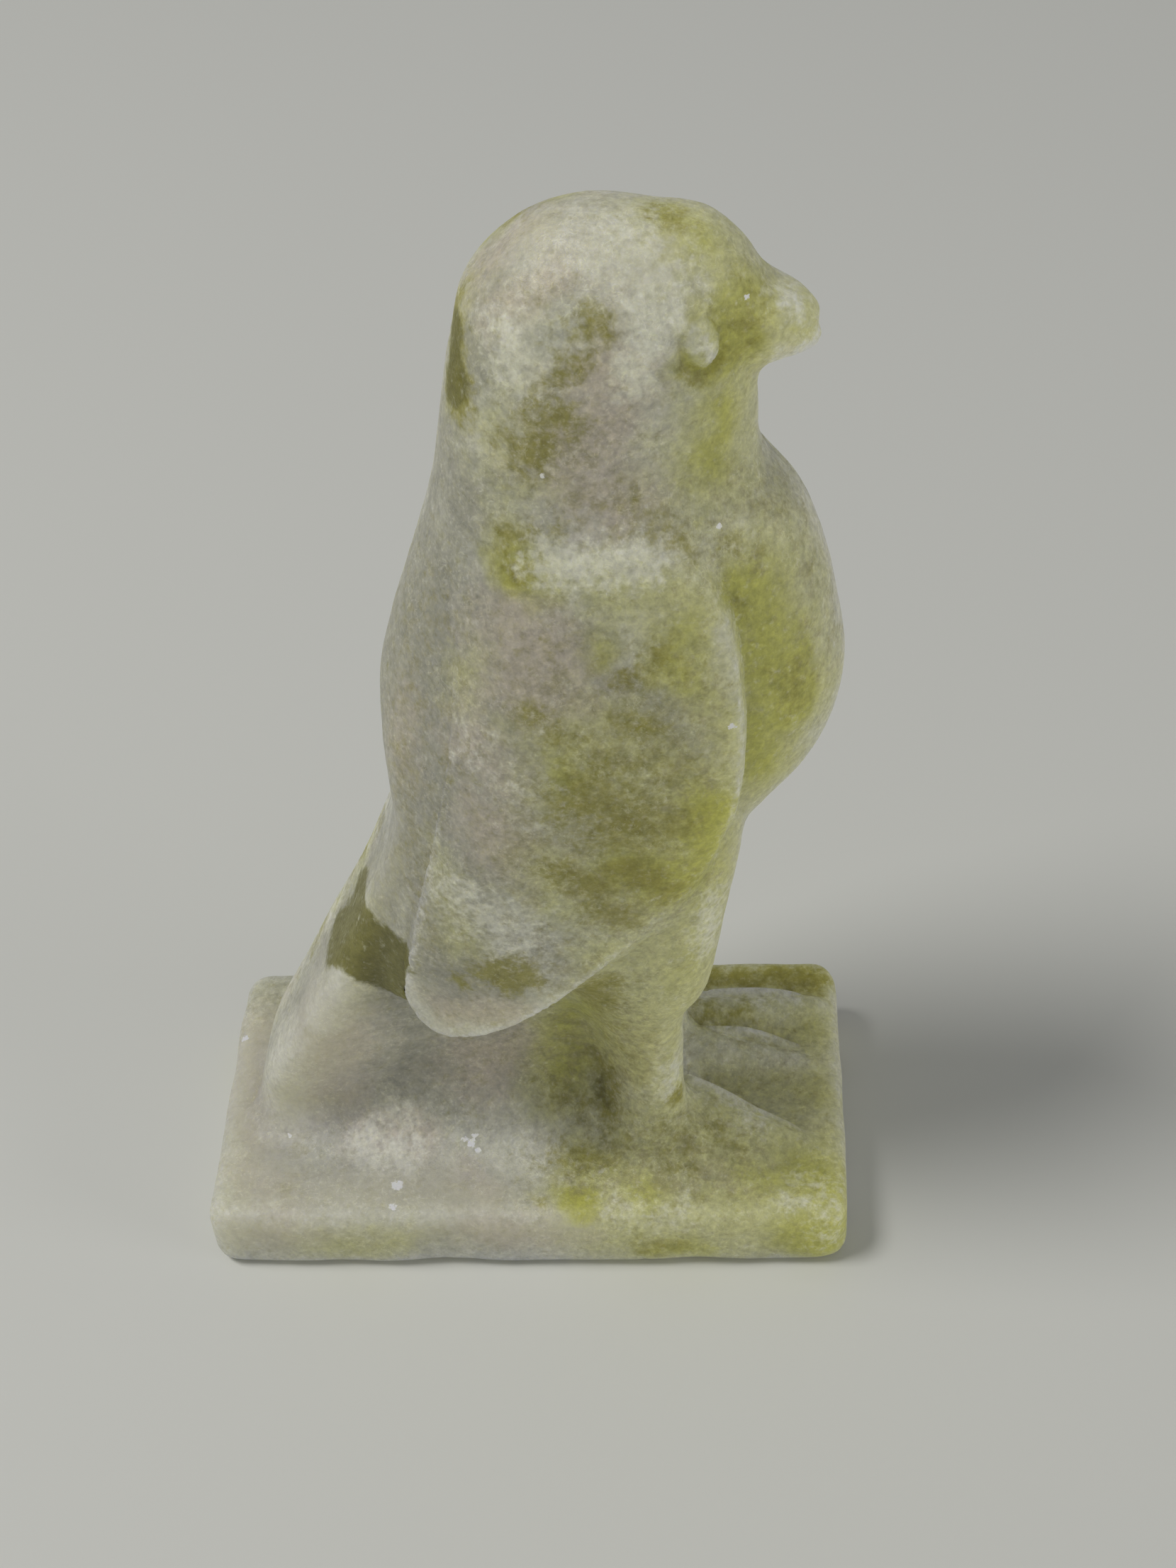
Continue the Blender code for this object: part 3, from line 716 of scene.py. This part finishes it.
pools["olive"] = {
    "headStreak": ((5.5, -4.3, 57), (4.4, -4.6, 55.6), 0.68, 0.8),
    "headStreakLow": ((4.2, -4.7, 55.4), (3.4, -4.7, 54.8), 0.6, 0.5),
    "neckStreak": ((3.2, -4.8, 53.8), (4.2, -5, 52.8), 0.7, 0.6),
    "neckStreakLow": ((3.4, -5, 52.6), (2.4, -4.9, 51.3), 0.9, 0.7),
    # eyeLid and eyeLidFront: painted shade in the groove below the eye
    "eyeLid": ((9.2, -3.9, 54.7), (9.9, -3.5, 54), 0.36, 0.85),
    "eyeLidFront": ((9.9, -3.5, 54), (10.9, -2.9, 54.9), 0.34, 0.75),
    "lores": ((11.9, -1.9, 56.9), (11.2, -2.7, 55), 0.9, 0.42),
    "crownFleck": ((8, -0.3, 59.8), (8.9, -0.8, 59.6), 0.6, 0.6),
    "headDot": ((3.1, -3.6, 57.9), (3.4, -3.7, 57.8), 0.45, 0.7),
    "shoulderPit": ((1.6, -5.8, 46.6), (2, -6, 45.8), 0.8, 0.8),
    "shoulderMark": ((0.9, -5.1, 47.2), (3.2, -5.7, 47.8), 0.45, 0.6),
    "neckFleck": ((6.4, -5, 48.9), (7.4, -5, 48.3), 0.7, 0.42),
    "neckFleckLow": ((7.6, -5.2, 47.9), (9.2, -5.6, 46.6), 0.8, 0.45),
    "chestMark": ((10.6, -4.5, 46.4), (10.9, -4.5, 45.9), 0.6, 0.45),
    "chestMarkRight": ((12, -4.1, 45.6), (12.4, -3.9, 45), 0.5, 0.4),
    "chestCore": ((13.95, -4.3, 38.8), (14.1, -4.2, 37.2), 0.75, 0.55),
    "chestDot": ((11.35, -5, 43.2), (11.4, -5, 42.8), 0.4, 0.35),
    "wingSpot": ((8, -7.2, 41.6), (7.4, -7.3, 40.8), 0.8, 0.6),
    "wingDark": ((6.4, -7.4, 40.9), (6.6, -7.5, 40.6), 0.55, 0.9),
    "wingDarkLow": ((6.2, -7.6, 38.6), (7.4, -7.7, 38.2), 0.65, 0.65),
    "wingMark": ((2, -7.4, 39.2), (2.2, -7.5, 38.8), 0.6, 0.7),
    "wingMarkLow": ((2.6, -7.6, 37.9), (3.4, -7.7, 37.5), 0.65, 0.6),
    "wingGreen": ((2.9, -7.9, 36.4), (3.3, -7.9, 35.4), 0.6, 0.45),
    "wingBrown": ((4.4, -8, 34.2), (7.2, -8, 32.2), 1.7, 0.8),
    "wingBrownHigh": ((5.4, -7.9, 36.6), (8.7, -7.9, 35.6), 1.4, 0.45),
    "wingBand": ((6, -8, 29.6), (8.4, -7.8, 28), 0.85, 0.95),
    "wingLow": ((2.9, -8, 29.3), (4.6, -7.9, 28.2), 0.9, 0.85),
    "wingLowEdge": ((4.4, -7.8, 26.8), (5.8, -7.8, 26.4), 0.8, 0.7),
    "tipDot": ((-0.25, -7.4, 21.9), (0.15, -7.4, 21.5), 0.95, 1.35),
    "tipDotLeft": ((-2.6, -7, 20.9), (-2.3, -7, 20.7), 0.5, 0.9),
    "underLip": ((4.3, -6, 19.9), (4, -5, 17.2), 0.9, 1),
    "legDark": ((4.2, -5, 15.4), (4.6, -4.6, 12.4), 0.8, 0.5),
    "ankle": ((4.4, -2.2, 9.4), (4.9, -3.6, 6.2), 0.9, 0.8),
    "ankleLeft": ((1.6, -2.6, 7.2), (3.4, -3, 6.4), 0.9, 0.45),
    "ankleLow": ((1.8, -5.4, 5), (4.4, -5.6, 5), 1, 0.55),
    "heelDot": ((8.1, -4.3, 8.7), (8.2, -4.3, 8.5), 0.6, 1.1),
    "footMottle": ((6.8, -5, 6.8), (9.4, -5, 6), 0.8, 0.4),
    "footMottleRight": ((10.8, -4.6, 5.6), (11.4, -4.8, 5.4), 0.6, 0.5),
    "footEdge": ((7.4, -5.7, 5), (8.2, -6, 4.8), 0.7, 0.7),
    "plinthDotLeft": ((0.3, -7.9, 4.3), (0.5, -7.9, 4.3), 0.45, 0.8),
    "tailFootLeft": ((-13.2, -4, 4.6), (-12.8, -4.4, 4.4), 0.6, 0.7),
    "plinthLeft": ((-13.6, -7.2, 4.3), (-13, -7, 4.3), 0.5, 0.5),
    "frontRight": ((6.4, -9.3, 1.8), (7.4, -9.3, 1.6), 0.7, 0.6),
    "backStrip": ((9.6, 8.2, 4.3), (16.2, 7.9, 4.3), 0.95, 0.85),
    "farGroove": ((9.4, 4, 5.9), (12.2, 4.4, 5.3), 0.6, 0.65),
    "gapHeel": ((9.6, -0.2, 4.8), (11.4, -1, 4.4), 0.6, 0.35),
    "nape": ((-0.65, -0.8, 56), (-0.4, -2.9, 52.6), 0.85, 1.05),
}
pools["green"] = {
    "nape": ((-0.65, -1.1, 55.5), (-0.5, -2.4, 53.1), 0.7, 1.15),
    "tailTop": ((-8.6, -0.6, 21), (-7.4, -3.7, 21), 0.9, 1.4),
    "tail": ((-9.6, -1.4, 18.6), (-6.2, -3.8, 19.6), 1.3, 1.6),
    "tailLow": ((-8, -3.7, 18.8), (-6.2, -3.5, 17.6), 1, 1.5),
    "ankle": ((4.1, -2.4, 8), (4.5, -3, 7), 0.6, 0.6),
    "tailSide": ((-7.4, -4.2, 20.6), (-6.2, -4.8, 20.4), 1, 1.6),
    "tailSideLow": ((-7.2, -4, 18.6), (-6.5, -4.2, 18.4), 0.8, 1.5),
}
# milky white stone, and in some pools painted highlights and painted glow
pools["milkAndPaintedHighlight"] = {
    # shoulder: pale stone with a painted highlight on the shoulder's rounded top
    "shoulder": ((3.2, -6.2, 46.4), (7, -6.2, 46.4), 1.1, 0.85),
    "crown": ((5.9, -1, 59.8), (6.4, -1.2, 59.8), 0.4, 1.2),
    "cheek": ((7.9, -3.9, 57.2), (7.6, -4.2, 56.2), 0.8, 0.95),
    "crownSide": ((6.2, -1.8, 59.4), (7.8, -3.2, 58.4), 1.5, 0.7),
    "cheekHigh": ((8.7, -3.6, 57.6), (8.9, -3.6, 57), 0.45, 1),
    "wingCloud": ((-0.8, -7, 36.6), (1.8, -7.9, 33.6), 1.5, 0.28),
    "wingEnd": ((-1.6, -7.4, 26.6), (0.4, -7.6, 24.8), 1.6, 0.65),
    "shank": ((8, -4.4, 11.2), (7.6, -4.4, 9.6), 0.8, 0.55),
    "thighFront": ((9.9, -5.4, 21.4), (10.2, -6, 25), 1, 0.6),
    "tail": ((-9.4, -3.8, 16.4), (-10.6, -3.6, 13.8), 0.8, 0.85),
    "tailFoot": ((-12.6, -2.4, 10.6), (-13.6, -2.8, 5.6), 1.4, 0.9),
    "webFoot": ((-7.6, -3.4, 5.8), (-6.2, -4.6, 5), 0.7, 0.6),
    "plinthMiddle": ((-7.2, -4.6, 4.8), (-6.8, -5.6, 4.4), 0.5, 0.9),
    # plinthEdge, plinthEdgeRight and cornerEdge: painted highlight along the plinth's rounded top front edge
    "plinthEdge": ((-16.2, -8.4, 4), (-9.6, -8.6, 4), 0.7, 0.3),
    "plinthEdgeRight": ((4.6, -8.5, 4), (8.2, -8.4, 4.1), 0.8, 0.4),
    "cornerEdge": ((13.8, -8.3, 4.1), (16.6, -8.2, 4), 0.45, 0.6),
    "dotRim": ((2, -6.7, 4.5), (4.2, -6.6, 4.5), 0.5, 0.35),
    "farToe": ((9.5, 5.8, 5.6), (14.6, 6, 5.3), 0.7, 0.75),
    "farToeInner": ((10.4, 2.9, 5.7), (12.8, 2.8, 5.3), 0.45, 0.75),
    # beakTop: painted glow on the thin, translucent beak
    "beakTop": ((13, -0.8, 56.6), (14.2, -0.7, 55.9), 0.7, 0.55),
    "beakLower": ((13.2, -1.3, 53.8), (14.6, -0.6, 53.7), 0.6, 0.8),
    "footCrest": ((9.2, -1.8, 6.5), (12.6, -3.4, 5.4), 0.8, 0.5),
    "cheekLow": ((6.9, -4.5, 55.4), (7.3, -4.4, 54.6), 0.7, 1.1),
    # eye: painted highlight on the eye's dome
    "eye": ((9.9, -3.9, 56), (10.3, -3.8, 55.6), 0.5, 0.6),
    "legFront": ((-8.8, -4.4, 5.2), (-8.2, -5.4, 4.6), 0.9, 1),
    "headBack": ((1.6, -3.8, 56.8), (2.2, -4.2, 54.8), 0.9, 0.6),
    # corner and cornerLow: painted light on the plinth's glowing front right corner
    "corner": ((15.4, -6.9, 4.4), (16.4, -7.2, 4.3), 0.8, 0.45),
    "cornerLow": ((16, -9.2, 2.6), (16.9, -8.8, 2.2), 0.9, 0.4),
}
pools["calm"] = {  # milkier and more even, under every colour but the deep ones
    "tail": ((-10.4, -3.4, 15), (-12.6, -2.8, 6), 2.6, 1),
    "plinthLeft": ((-16, 2, 4.4), (-14.6, -5.6, 4.4), 3, 1),
    "plinthFront": ((-15, -7.4, 4.4), (-3, -7.4, 4.4), 2.2, 0.9),
    "frontLeft": ((-16.4, -9.3, 3), (-12.5, -9.3, 3), 1.6, 0.9),
    "frontFace": ((-6, -9.3, 3.2), (2.5, -9.3, 3.2), 1.4, 0.7),
    "crown": ((3, -1.2, 59.4), (7.6, -2.6, 58.6), 2, 0.55),
    "web": ((-6.5, -2.4, 9.5), (-1.5, -2.3, 9.5), 2, 0.25),
    "tailTop": ((-6.6, -3.4, 24), (-5.2, -3.4, 30), 1.6, 0.5),
}
drift = {"wide": 0.6, "wideSize": 3.0, "fine": 0.4, "fineSize": 1.0}  # how far and over what size, in mm
driftSeed = 1795800830
smallPool = 0.4  # a pool of this radius or less stays where it is


def drifted(points):  # the stone's colours never lie in clean shapes
    noise.seed_set(driftSeed)
    moved = points.copy()
    for i, point in enumerate(points):
        point = Vector(point)
        moved[i] += noise.noise_vector(point / drift["wideSize"]) * drift["wide"]
        moved[i] += noise.noise_vector(point / drift["fineSize"] + Vector((7, 3, 5))) * drift["fine"]
    return moved


def poolColours(mesh):
    points = readPoints(mesh)
    moved = drifted(points)
    x, y, z = points.T
    away, crisp = wingDistance(points)
    # a painted highlight along the wing's edge, laid into the milky colour
    pale, within, width = wing["paintedLipHighlight"]
    lip = pale * crisp * bell(away + within, width) * fade(np.abs(y), 4.5, 6)
    for colour, spots in pools.items():
        pooled = lip if colour == "milkAndPaintedHighlight" else np.zeros(len(points))
        for start, end, radius, strength in spots.values():
            gap, _ = toLine(moved if radius > smallPool else points, (start, end))
            pooled = np.maximum(pooled, strength * np.clip(1 - gap / (2 * radius), 0, 1))
        mesh.attributes.new(colour, "FLOAT", "POINT").data.foreach_set("value", pooled)
    # the far side is hidden, apart from the plinth's top and the far foot
    low = np.maximum(fade(x, 7.0, 9.0), fade(z, 7.0, 5.5))
    seen = fade(z, 9.0, 7.0) * low * fade(z, 1.2, 3.0)
    hidden = fade(y, -1.0, 3.0) * (1 - seen)
    mesh.attributes.new("hidden", "FLOAT", "POINT").data.foreach_set("value", hidden)


# shader groups

def newGroup(name, values, results):  # reads a place and some values, and puts out numbers
    group = bpy.data.node_groups.new(name, "ShaderNodeTree")
    group.interface.new_socket("Vector", in_out="INPUT", socket_type="NodeSocketVector")
    for label, value in values.items():
        group.interface.new_socket(label, in_out="INPUT", socket_type="NodeSocketFloat").default_value = value
    for label in results:
        group.interface.new_socket(label, in_out="OUTPUT", socket_type="NodeSocketFloat")
    return group, group.nodes.new("NodeGroupInput").outputs, group.nodes.new("NodeGroupOutput").inputs


def mottleGroup():  # a pooled colour with an edge that the stone's own grain breaks up
    values = {"Pooled": 0, "Wild": 0, "Cell Size": 2, "Break Up": 0.6, "Grain Break": 0.4, "Softness": 0.2}
    group, into, out = newGroup("mottle", values, ["Amount"])
    place = into["Vector"]
    cells = calc(group, "DIVIDE", 1.0, into["Cell Size"])
    wild = cloudIn(group, place, times(group, cells, 0.4), 2.0, 0.5)
    wild = times(group, fromTo(group, wild, 0.48, 0.68, False), into["Wild"])
    pooled = calc(group, "MAXIMUM", into["Pooled"], wild)
    for share, scale, detail in (("Break Up", cells, 5.0), ("Grain Break", 2.6, 2.0)):
        cloud = calc(group, "SUBTRACT", cloudIn(group, place, scale, detail, 0.65, 0.3), 0.5)
        pooled = calc(group, "ADD", pooled, times(group, cloud, into[share]))
    edge = 0.42  # a pool ends where its strength has fallen to this
    low = calc(group, "SUBTRACT", edge, into["Softness"])
    high = calc(group, "ADD", edge, into["Softness"])
    group.links.new(fromTo(group, pooled, low, high), out["Amount"])
    return group


def grainGroup():  # sugary grain: a shade, fine pale fibres and a height
    group, into, out = newGroup("grain", {"Grain Size": 0.3}, ["Shade", "Fibre", "Height"])
    perGrain = calc(group, "DIVIDE", 1.0, into["Grain Size"])

    def cloud(share, detail, roughness, twist):
        return cloudIn(group, into["Vector"], times(group, perGrain, share), detail, roughness, twist)

    mottled = calc(group, "ADD", cloud(0.42, 3.0, 0.6, 0.6), cloud(1.0, 2.0, 0.7, 0.4))
    fibre = 0.0
    for share, thin in ((0.40, 0.07), (0.70, 0.09)):
        strand = calc(group, "ABSOLUTE", calc(group, "SUBTRACT", cloud(share, 1.0, 0.5, 1.3), 0.5))
        strand = calc(group, "SUBTRACT", 1.0, fromTo(group, strand, 0.01, thin))
        patchy = fromTo(group, cloud(2.0 * share, 2.0, 0.6, 0.0), 0.50, 0.64)
        patchy = times(group, patchy, fromTo(group, cloud(0.12, 2.0, 0.6, 0.0), 0.36, 0.60))
        fibre = calc(group, "MAXIMUM", fibre, times(group, strand, patchy))
    height = calc(group, "ADD", cloud(1.3, 3.0, 0.65, 0.0), times(group, fibre, 0.25))
    group.links.new(times(group, mottled, 0.5), out["Shade"])
    group.links.new(fibre, out["Fibre"])
    group.links.new(height, out["Height"])
    return group


def groupNode(tree, group, inputs):
    node = tree.nodes.new("ShaderNodeGroup")
    node.node_tree = group
    return wire(tree, node, inputs)


# green-white jade: colours, and for each pooled one its cell size in mm, break-up, grain break-up, softness,
# strength and how much of it shows of its own accord on the hidden side

jade = {
    "pale": (0.72, 0.715, 0.605, 1),
    "cool": (0.63, 0.635, 0.545, 1),
    "layers": {
        "grey": ((0.38, 0.375, 0.312, 1), 2.2, 0.8, 0.4, 0.42, 0.85, 0.9),
        "mauve": ((0.62, 0.565, 0.475, 1), 2.4, 0.8, 0.5, 0.40, 0.85, 0.9),
        "haze": ((0.62, 0.62, 0.32, 1), 2.0, 0.7, 0.4, 0.42, 0.90, 0.9),
        "yellow": ((0.53, 0.535, 0.10, 1), 1.5, 0.5, 0.15, 0.44, 0.85, 0.75),
        "umber": ((0.38, 0.35, 0.18, 1), 0.75, 2.0, 1.1, 0.30, 0.60, 0.45),
        "olive": ((0.34, 0.315, 0.055, 1), 0.9, 1.2, 1.2, 0.42, 0.86, 0.62),
        "green": ((0.185, 0.175, 0.03, 1), 1.4, 0.5, 0.45, 0.20, 0.95, 0.38),
        "milkAndPaintedHighlight": ((0.90, 0.90, 0.80, 1), 0.7, 1.2, 1.2, 0.38, 0.70, 0.6),
    },
    "cloudScale": 0.30,  # of the pale and cool ground
    "milky": ((0.59, 0.575, 0.51, 1), 0.60),  # the calm parts' colour and its share
    "calmGrain": 0.6,  # share of the grain's contrast that they lose
    "grainSize": 0.30,
    "shadeRange": (0.73, 1.24),
    "fibre": (0.16, 0.09),  # paler, and brighter
    "roughness": (0.56, 0.38),  # in the grain's dark and pale parts
    "bump": (0.8, 0.06 * mm),
    "ior": 1.56,
    "glow": 1.0,  # share of light that passes into the stone
    "glowDepth": 7.0 * mm,
    "glowColour": (1.0, 0.95, 0.5),
    "crystalAndGlint": ((0.98, 0.98, 0.95, 1), 0.25),  # white crystal grains and painted glints: their colour and how much smoother they are
    "crystalsAndGlints": (  # place and radius
        ((-3.2, -4.6, 5.0), 0.28), ((-2.8, -5.0, 4.9), 0.22), ((-3.6, -4.4, 5.0), 0.20),
        ((-3.0, -4.2, 5.1), 0.17), ((-7.2, -7.0, 4.3), 0.40), ((-7.3, -8.4, 4.2), 0.25),
        ((-13.0, -3.5, 4.7), 0.20), ((-12.6, -3.2, 4.8), 0.17), ((-13.4, -3.7, 4.6), 0.15),
        ((-17.0, 3.8, 4.2), 0.24), ((2.1, -5.8, 47.1), 0.20), ((10.6, -4.3, 46.9), 0.18),
        ((11.1, -7.5, 38.1), 0.22), ((11.8, -2.0, 57.0), 0.18), ((2.3, -7.2, 19.7), 0.15),
        ((3.0, -5.1, 50.3), 0.18),
    ),
}


def jadeMaterial():
    material = bpy.data.materials.new("green_white_jade")
    material.use_nodes = True
    tree = material.node_tree
    tree.nodes.clear()
    mottle, grain = mottleGroup(), grainGroup()
    place = addNode(tree, "ShaderNodeTexCoord").outputs["Object"]
    place = vectorCalc(tree, "MULTIPLY", place, (1 / mm,) * 3)

    def mask(name):  # a value kept on the mesh's points
        return addNode(tree, "ShaderNodeAttribute", attribute_name=name).outputs["Fac"]

    # pooled colours, each over the ones before
    hidden = mask("hidden")
    clouds = cloudIn(tree, place, jade["cloudScale"], 4.0, 0.6)
    colour = tint(tree, fromTo(tree, clouds, 0.38, 0.62), jade["cool"], jade["pale"])
    clear = 0.0  # the clear deep colours, where no fibre and no milkiness shows
    for number, (name, layer) in enumerate(jade["layers"].items()):
        over, cell, breakUp, grainBreak, softness, strength, wild = layer
        values = {
            "Vector": vectorCalc(tree, "ADD", place, (17.3 * number, 5.1 * number, 0.0)),
            "Pooled": mask(name),
            "Wild": times(tree, hidden, wild),
            "Cell Size": cell,
            "Break Up": breakUp,
            "Grain Break": grainBreak,
            "Softness": softness,
        }
        amount = times(tree, groupNode(tree, mottle, values).outputs["Amount"], strength)
        colour = tint(tree, amount, colour, over)
        if name in ("yellow", "green"):
            clear = calc(tree, "MAXIMUM", clear, amount)

    # calm milky parts, then grain and fibres
    calm = fromTo(tree, mask("calm"), 0.1, 0.9)
    milky, share = jade["milky"]
    share = times(tree, times(tree, calm, share), fromTo(tree, clear, 1.0, 0.2, False))
    colour = tint(tree, share, colour, milky)
    fine = groupNode(tree, grain, {"Vector": place, "Grain Size": jade["grainSize"]}).outputs
    shade = fromTo(tree, fine["Shade"], 0.3, 0.7, False, jade["shadeRange"])
    contrast = calc(tree, "SUBTRACT", 1.0, times(tree, calm, jade["calmGrain"]))
    colour = tint(tree, contrast, colour, shade, "MULTIPLY")
    fibre = times(tree, fine["Fibre"], fromTo(tree, clear, 1.0, 0.1, False))
    paler, brighter = jade["fibre"]
    colour = tint(tree, times(tree, fibre, paler), colour, jade["layers"]["milkAndPaintedHighlight"][0])
    colour = tint(tree, 1.0, colour, calc(tree, "ADD", 1.0, times(tree, fibre, brighter)), "MULTIPLY")

    # white crystal grains and painted glints, with an uneven outline
    crystalAndGlint = 0.0
    uneven = times(tree, calc(tree, "SUBTRACT", fine["Height"], 0.5), 0.5)
    for spot, size in jade["crystalsAndGlints"]:
        away = calc(tree, "ADD", vectorCalc(tree, "DISTANCE", place, spot), uneven)
        crystalAndGlint = calc(tree, "MAXIMUM", crystalAndGlint, fromTo(tree, away, size, 0.7 * size))
    bright, smoother = jade["crystalAndGlint"]
    colour = tint(tree, crystalAndGlint, colour, bright)
    rough = fromTo(tree, fine["Shade"], 0.35, 0.65, False, jade["roughness"])
    rough = calc(tree, "SUBTRACT", rough, times(tree, crystalAndGlint, smoother))

    strength, distance = jade["bump"]
    height = {"Height": fine["Height"], "Strength": strength, "Distance": distance}
    values = {
        "Base Color": colour,
        "Roughness": rough,
        "Normal": addNode(tree, "ShaderNodeBump", height).outputs[0],
        "IOR": jade["ior"],
        "Subsurface Weight": jade["glow"],
        "Subsurface Radius": jade["glowColour"],
        "Subsurface Scale": jade["glowDepth"],
    }
    shader = addNode(tree, "ShaderNodeBsdfPrincipled", values)
    addNode(tree, "ShaderNodeOutputMaterial", {"Surface": shader.outputs[0]})
    return material


finishByHand(bird, jadeMaterial())
poolColours(bird.data)
for face in bird.data.polygons:
    face.use_smooth = True
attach(bird, "root")
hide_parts("bird_carving")
print("jade made")


# floor, light and camera

studio = {
    "floorSize": 1.2,
    "floorColour": (0.80, 0.81, 0.775, 1),
    "floorRoughness": 0.6,
    "aim": Vector((0, 0, 0.03)),
    "distance": 0.6,
    "lampFrom": Vector((-0.50, -0.11, 0.86)),  # direction from the carving to the lamp
    "lampSize": (0.25, 0.17),  # across, up
    "lampPower": 1.60,
    "fillFrom": Vector((0.92, -0.36, 0.10)),
    "fillSize": (0.3, 0.3),
    "fillPower": 0.85,
    "lightColour": (1.0, 0.985, 0.95),
    "sky": (0.975, 0.98, 0.985, 1),
    "skyStrength": 0.20,
}

view = {
    "place": Vector((9.62, -91.0, 112.48)) * mm,
    "angles": (42.93, -3.54, 3.03),  # pitch, yaw and roll in degrees
    "lens": 3500,  # in the photograph's pixels
    "frameHeight": 2212,
    "sensor": 36,
}


def pixelCamera():  # the photograph's own view
    pitch, yaw, roll = (math.radians(angle) for angle in view["angles"])
    ahead = Vector((math.sin(yaw) * math.cos(pitch), math.cos(yaw) * math.cos(pitch), -math.sin(pitch)))
    level = Vector((math.cos(yaw), -math.sin(yaw), 0))
    down = ahead.cross(level)
    right = math.cos(roll) * level + math.sin(roll) * down
    up = -(math.cos(roll) * down - math.sin(roll) * level)
    data = bpy.data.cameras.new("photo_view")
    data.sensor_width = view["sensor"]
    data.lens = view["lens"] / view["frameHeight"] * view["sensor"]
    data.clip_start = 0.01
    camera = addObject("photo_view", data)
    turned = Matrix((right, up, -ahead)).transposed().to_4x4()
    camera.matrix_world = Matrix.Translation(view["place"]) @ turned
    bpy.context.scene.camera = camera


def makeStudio():
    half = studio["floorSize"] / 2
    corners = [(-half, -half, 0), (half, -half, 0), (half, half, 0), (-half, half, 0)]
    mesh = bpy.data.meshes.new("floor")
    mesh.from_pydata(corners, [], [(0, 1, 2, 3)])
    floor = addObject("floor", mesh)
    paint = bpy.data.materials.new("pale_floor")
    paint.use_nodes = True
    shader = paint.node_tree.nodes["Principled BSDF"]
    shader.inputs["Base Color"].default_value = studio["floorColour"]
    shader.inputs["Roughness"].default_value = studio["floorRoughness"]
    mesh.materials.append(paint)

    for name in ("lamp", "fill"):
        data = bpy.data.lights.new(name, "AREA")
        data.shape = "ELLIPSE"
        data.size, data.size_y = studio[name + "Size"]
        data.energy = studio[name + "Power"]
        data.color = studio["lightColour"]
        light = addObject(name, data)
        way = studio[name + "From"].normalized()
        light.location = way * studio["distance"] + studio["aim"]
        light.rotation_euler = way.to_track_quat("Z", "Y").to_euler()

    world = bpy.data.worlds.new("studio_light")
    world.use_nodes = True
    background = world.node_tree.nodes["Background"]
    background.inputs["Color"].default_value = studio["sky"]
    background.inputs["Strength"].default_value = studio["skyStrength"]
    bpy.context.scene.world = world
    bpy.context.scene.view_settings.view_transform = "Standard"


makeStudio()
pixelCamera()
print("studio made")
